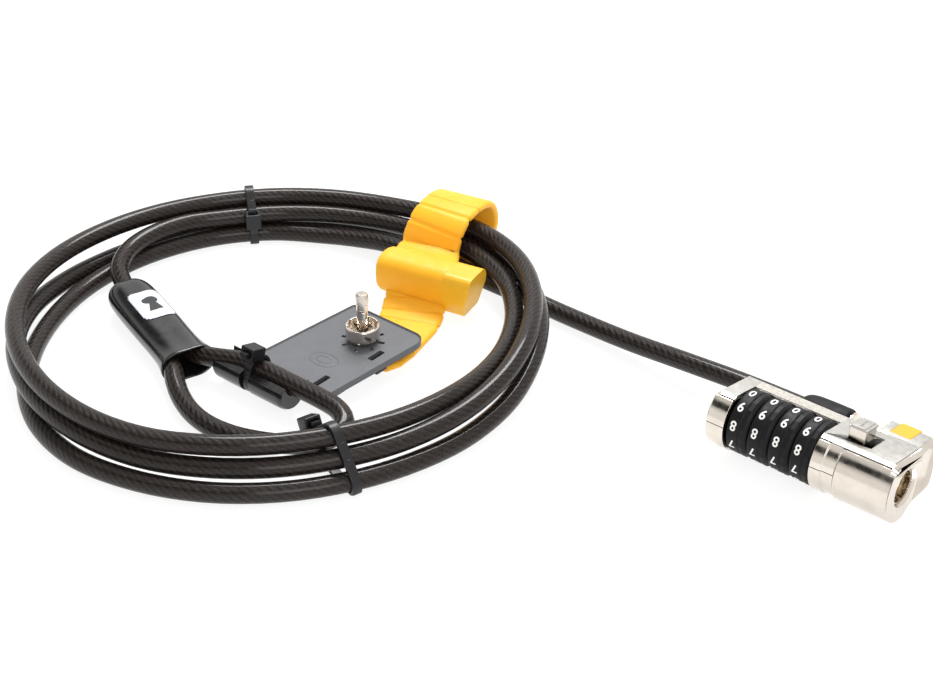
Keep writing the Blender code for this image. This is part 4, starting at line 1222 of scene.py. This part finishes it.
def make_anchor(metal):
    """Anchor: a post with a flattened tip, standing in a cup with a toothed rim."""
    base = CARD_Z[1] + 0.2
    profile = [(-2.0, 0), (-2.0, 1.4), (0.9, 1.4), (1.2, 2.4), (2.2, 2.4), (2.6, 1.6), (7.4, 1.5)]
    profile += [(8.4, 1.62), (11.2, 1.6), (11.5, 1.85), (13.9, 1.85), (14.3, 1.6), (14.5, 1.3), (14.5, 0)]
    upright = Matrix.Translation((*ANCHOR_AT, base))
    post = add_object("anchor_pin", turned(profile, 48, "Z"), upright)
    side = upright @ Matrix.Rotation(math.radians(40), 4, "Z")
    carve(post, [box((-3, 3), (1.4, 3), (9.4, 16)), box((-3, 3), (-3, -1.4), (9.4, 16))], side)
    soften(post, 0.1, 2)
    own(post, metal, "anchor", ("anchor_post",))
    reach = 4.85
    wall = reach - 0.8
    cup = [(0.0, 1.75), (0.0, 4.3), (0.5, 4.7), (1.2, reach), (4.1, reach), (4.4, 4.6)]
    cup += [(4.4, wall + 0.1), (1.0, wall), (1.0, 1.75)]
    collar = add_object("anchor_cup", turned(cup, 96, "Z"), upright)
    for k in range(4):
        turn = upright @ Matrix.Rotation(math.radians(45 * k + 12), 4, "Z")
        carve(collar, [box((-4.45, 4.45), (-0.62, 0.62), (2.4, 6))], turn)
    soften(collar, 0.12, 2)
    own(collar, metal, "anchor", ("anchor_collar",))
    return [post, collar]


# ---------------------------------------------------------------- build

make_camera()
make_room()
make_floor()

NICKEL = nickel()
SATIN = satin()
BLACK = plastic(
    "black_plastic", (0.003, 0.003, 0.0035), (0.007, 0.007, 0.008),
    (0.42, 0.60), 2600, specular=0.22
)
NYLON = plastic(
    "black_nylon", (0.004, 0.004, 0.005), (0.009, 0.009, 0.011),
    (0.28, 0.44), 1500, 0.00001, specular=0.4
)
GLOSS = plastic(
    "gloss_vinyl", (0.004, 0.004, 0.005), (0.009, 0.009, 0.010),
    (0.18, 0.32), 700, 0.00001, 0.5, specular=0.4
)
RUBBER = plastic(
    "dark_rubber", (0.007, 0.006, 0.007), (0.013, 0.011, 0.012),
    (0.48, 0.64), 1200, specular=0.2
)
GREY = plastic("card_grey", (0.082, 0.086, 0.096), (0.105, 0.110, 0.120), (0.42, 0.58), 3000, 0.00003)
INLAY = plastic("yellow_inlay", (0.78, 0.40, 0.015), (0.86, 0.46, 0.022), (0.38, 0.54), 1600)
INK = plastic("white_ink", (0.82, 0.82, 0.80), (0.94, 0.94, 0.92), (0.40, 0.55), 2500, 0.00001)
BRASS = machined("turned_brass", (0.26, 0.19, 0.10), (0.60, 0.49, 0.32), 0.18, 0.34)
STEEL = machined("machined_steel", (0.36, 0.36, 0.36), (0.60, 0.59, 0.58), 0.28, 0.45)

CABLE = make_cable()
make_case(NICKEL)
make_top_plate(SATIN, bright_grain())
make_nose(NICKEL)
make_insert(INLAY)
make_button(SATIN, NICKEL)
make_key_plug(BRASS)
make_wheels(BLACK, INK)
make_swivel(RUBBER, NICKEL)
make_sleeve(GLOSS, label_print())
ON_CABLE = [bpy.data.objects["crimp_ferrule"], bpy.data.objects["sleeve_print"]]
ON_CABLE += make_ties(NYLON)
ON_CABLE += make_strap(silicone())
ON_CABLE += make_card(GREY, GLOSS)
make_anchor(NICKEL)

# CAD solids that still show: inner works that no mesh above stands for
for node_name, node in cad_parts.items():
    if node.hide_render:
        continue
    is_brass = node_name.startswith("wheel_hub")
    is_nickel = node_name in ("swivel_bracket", "cylinder_sleeve")
    node.data.materials.clear()
    node.data.materials.append(BRASS if is_brass else NICKEL if is_nickel else STEEL)

[value * MM for value in LEAD_ROUTE[0]]
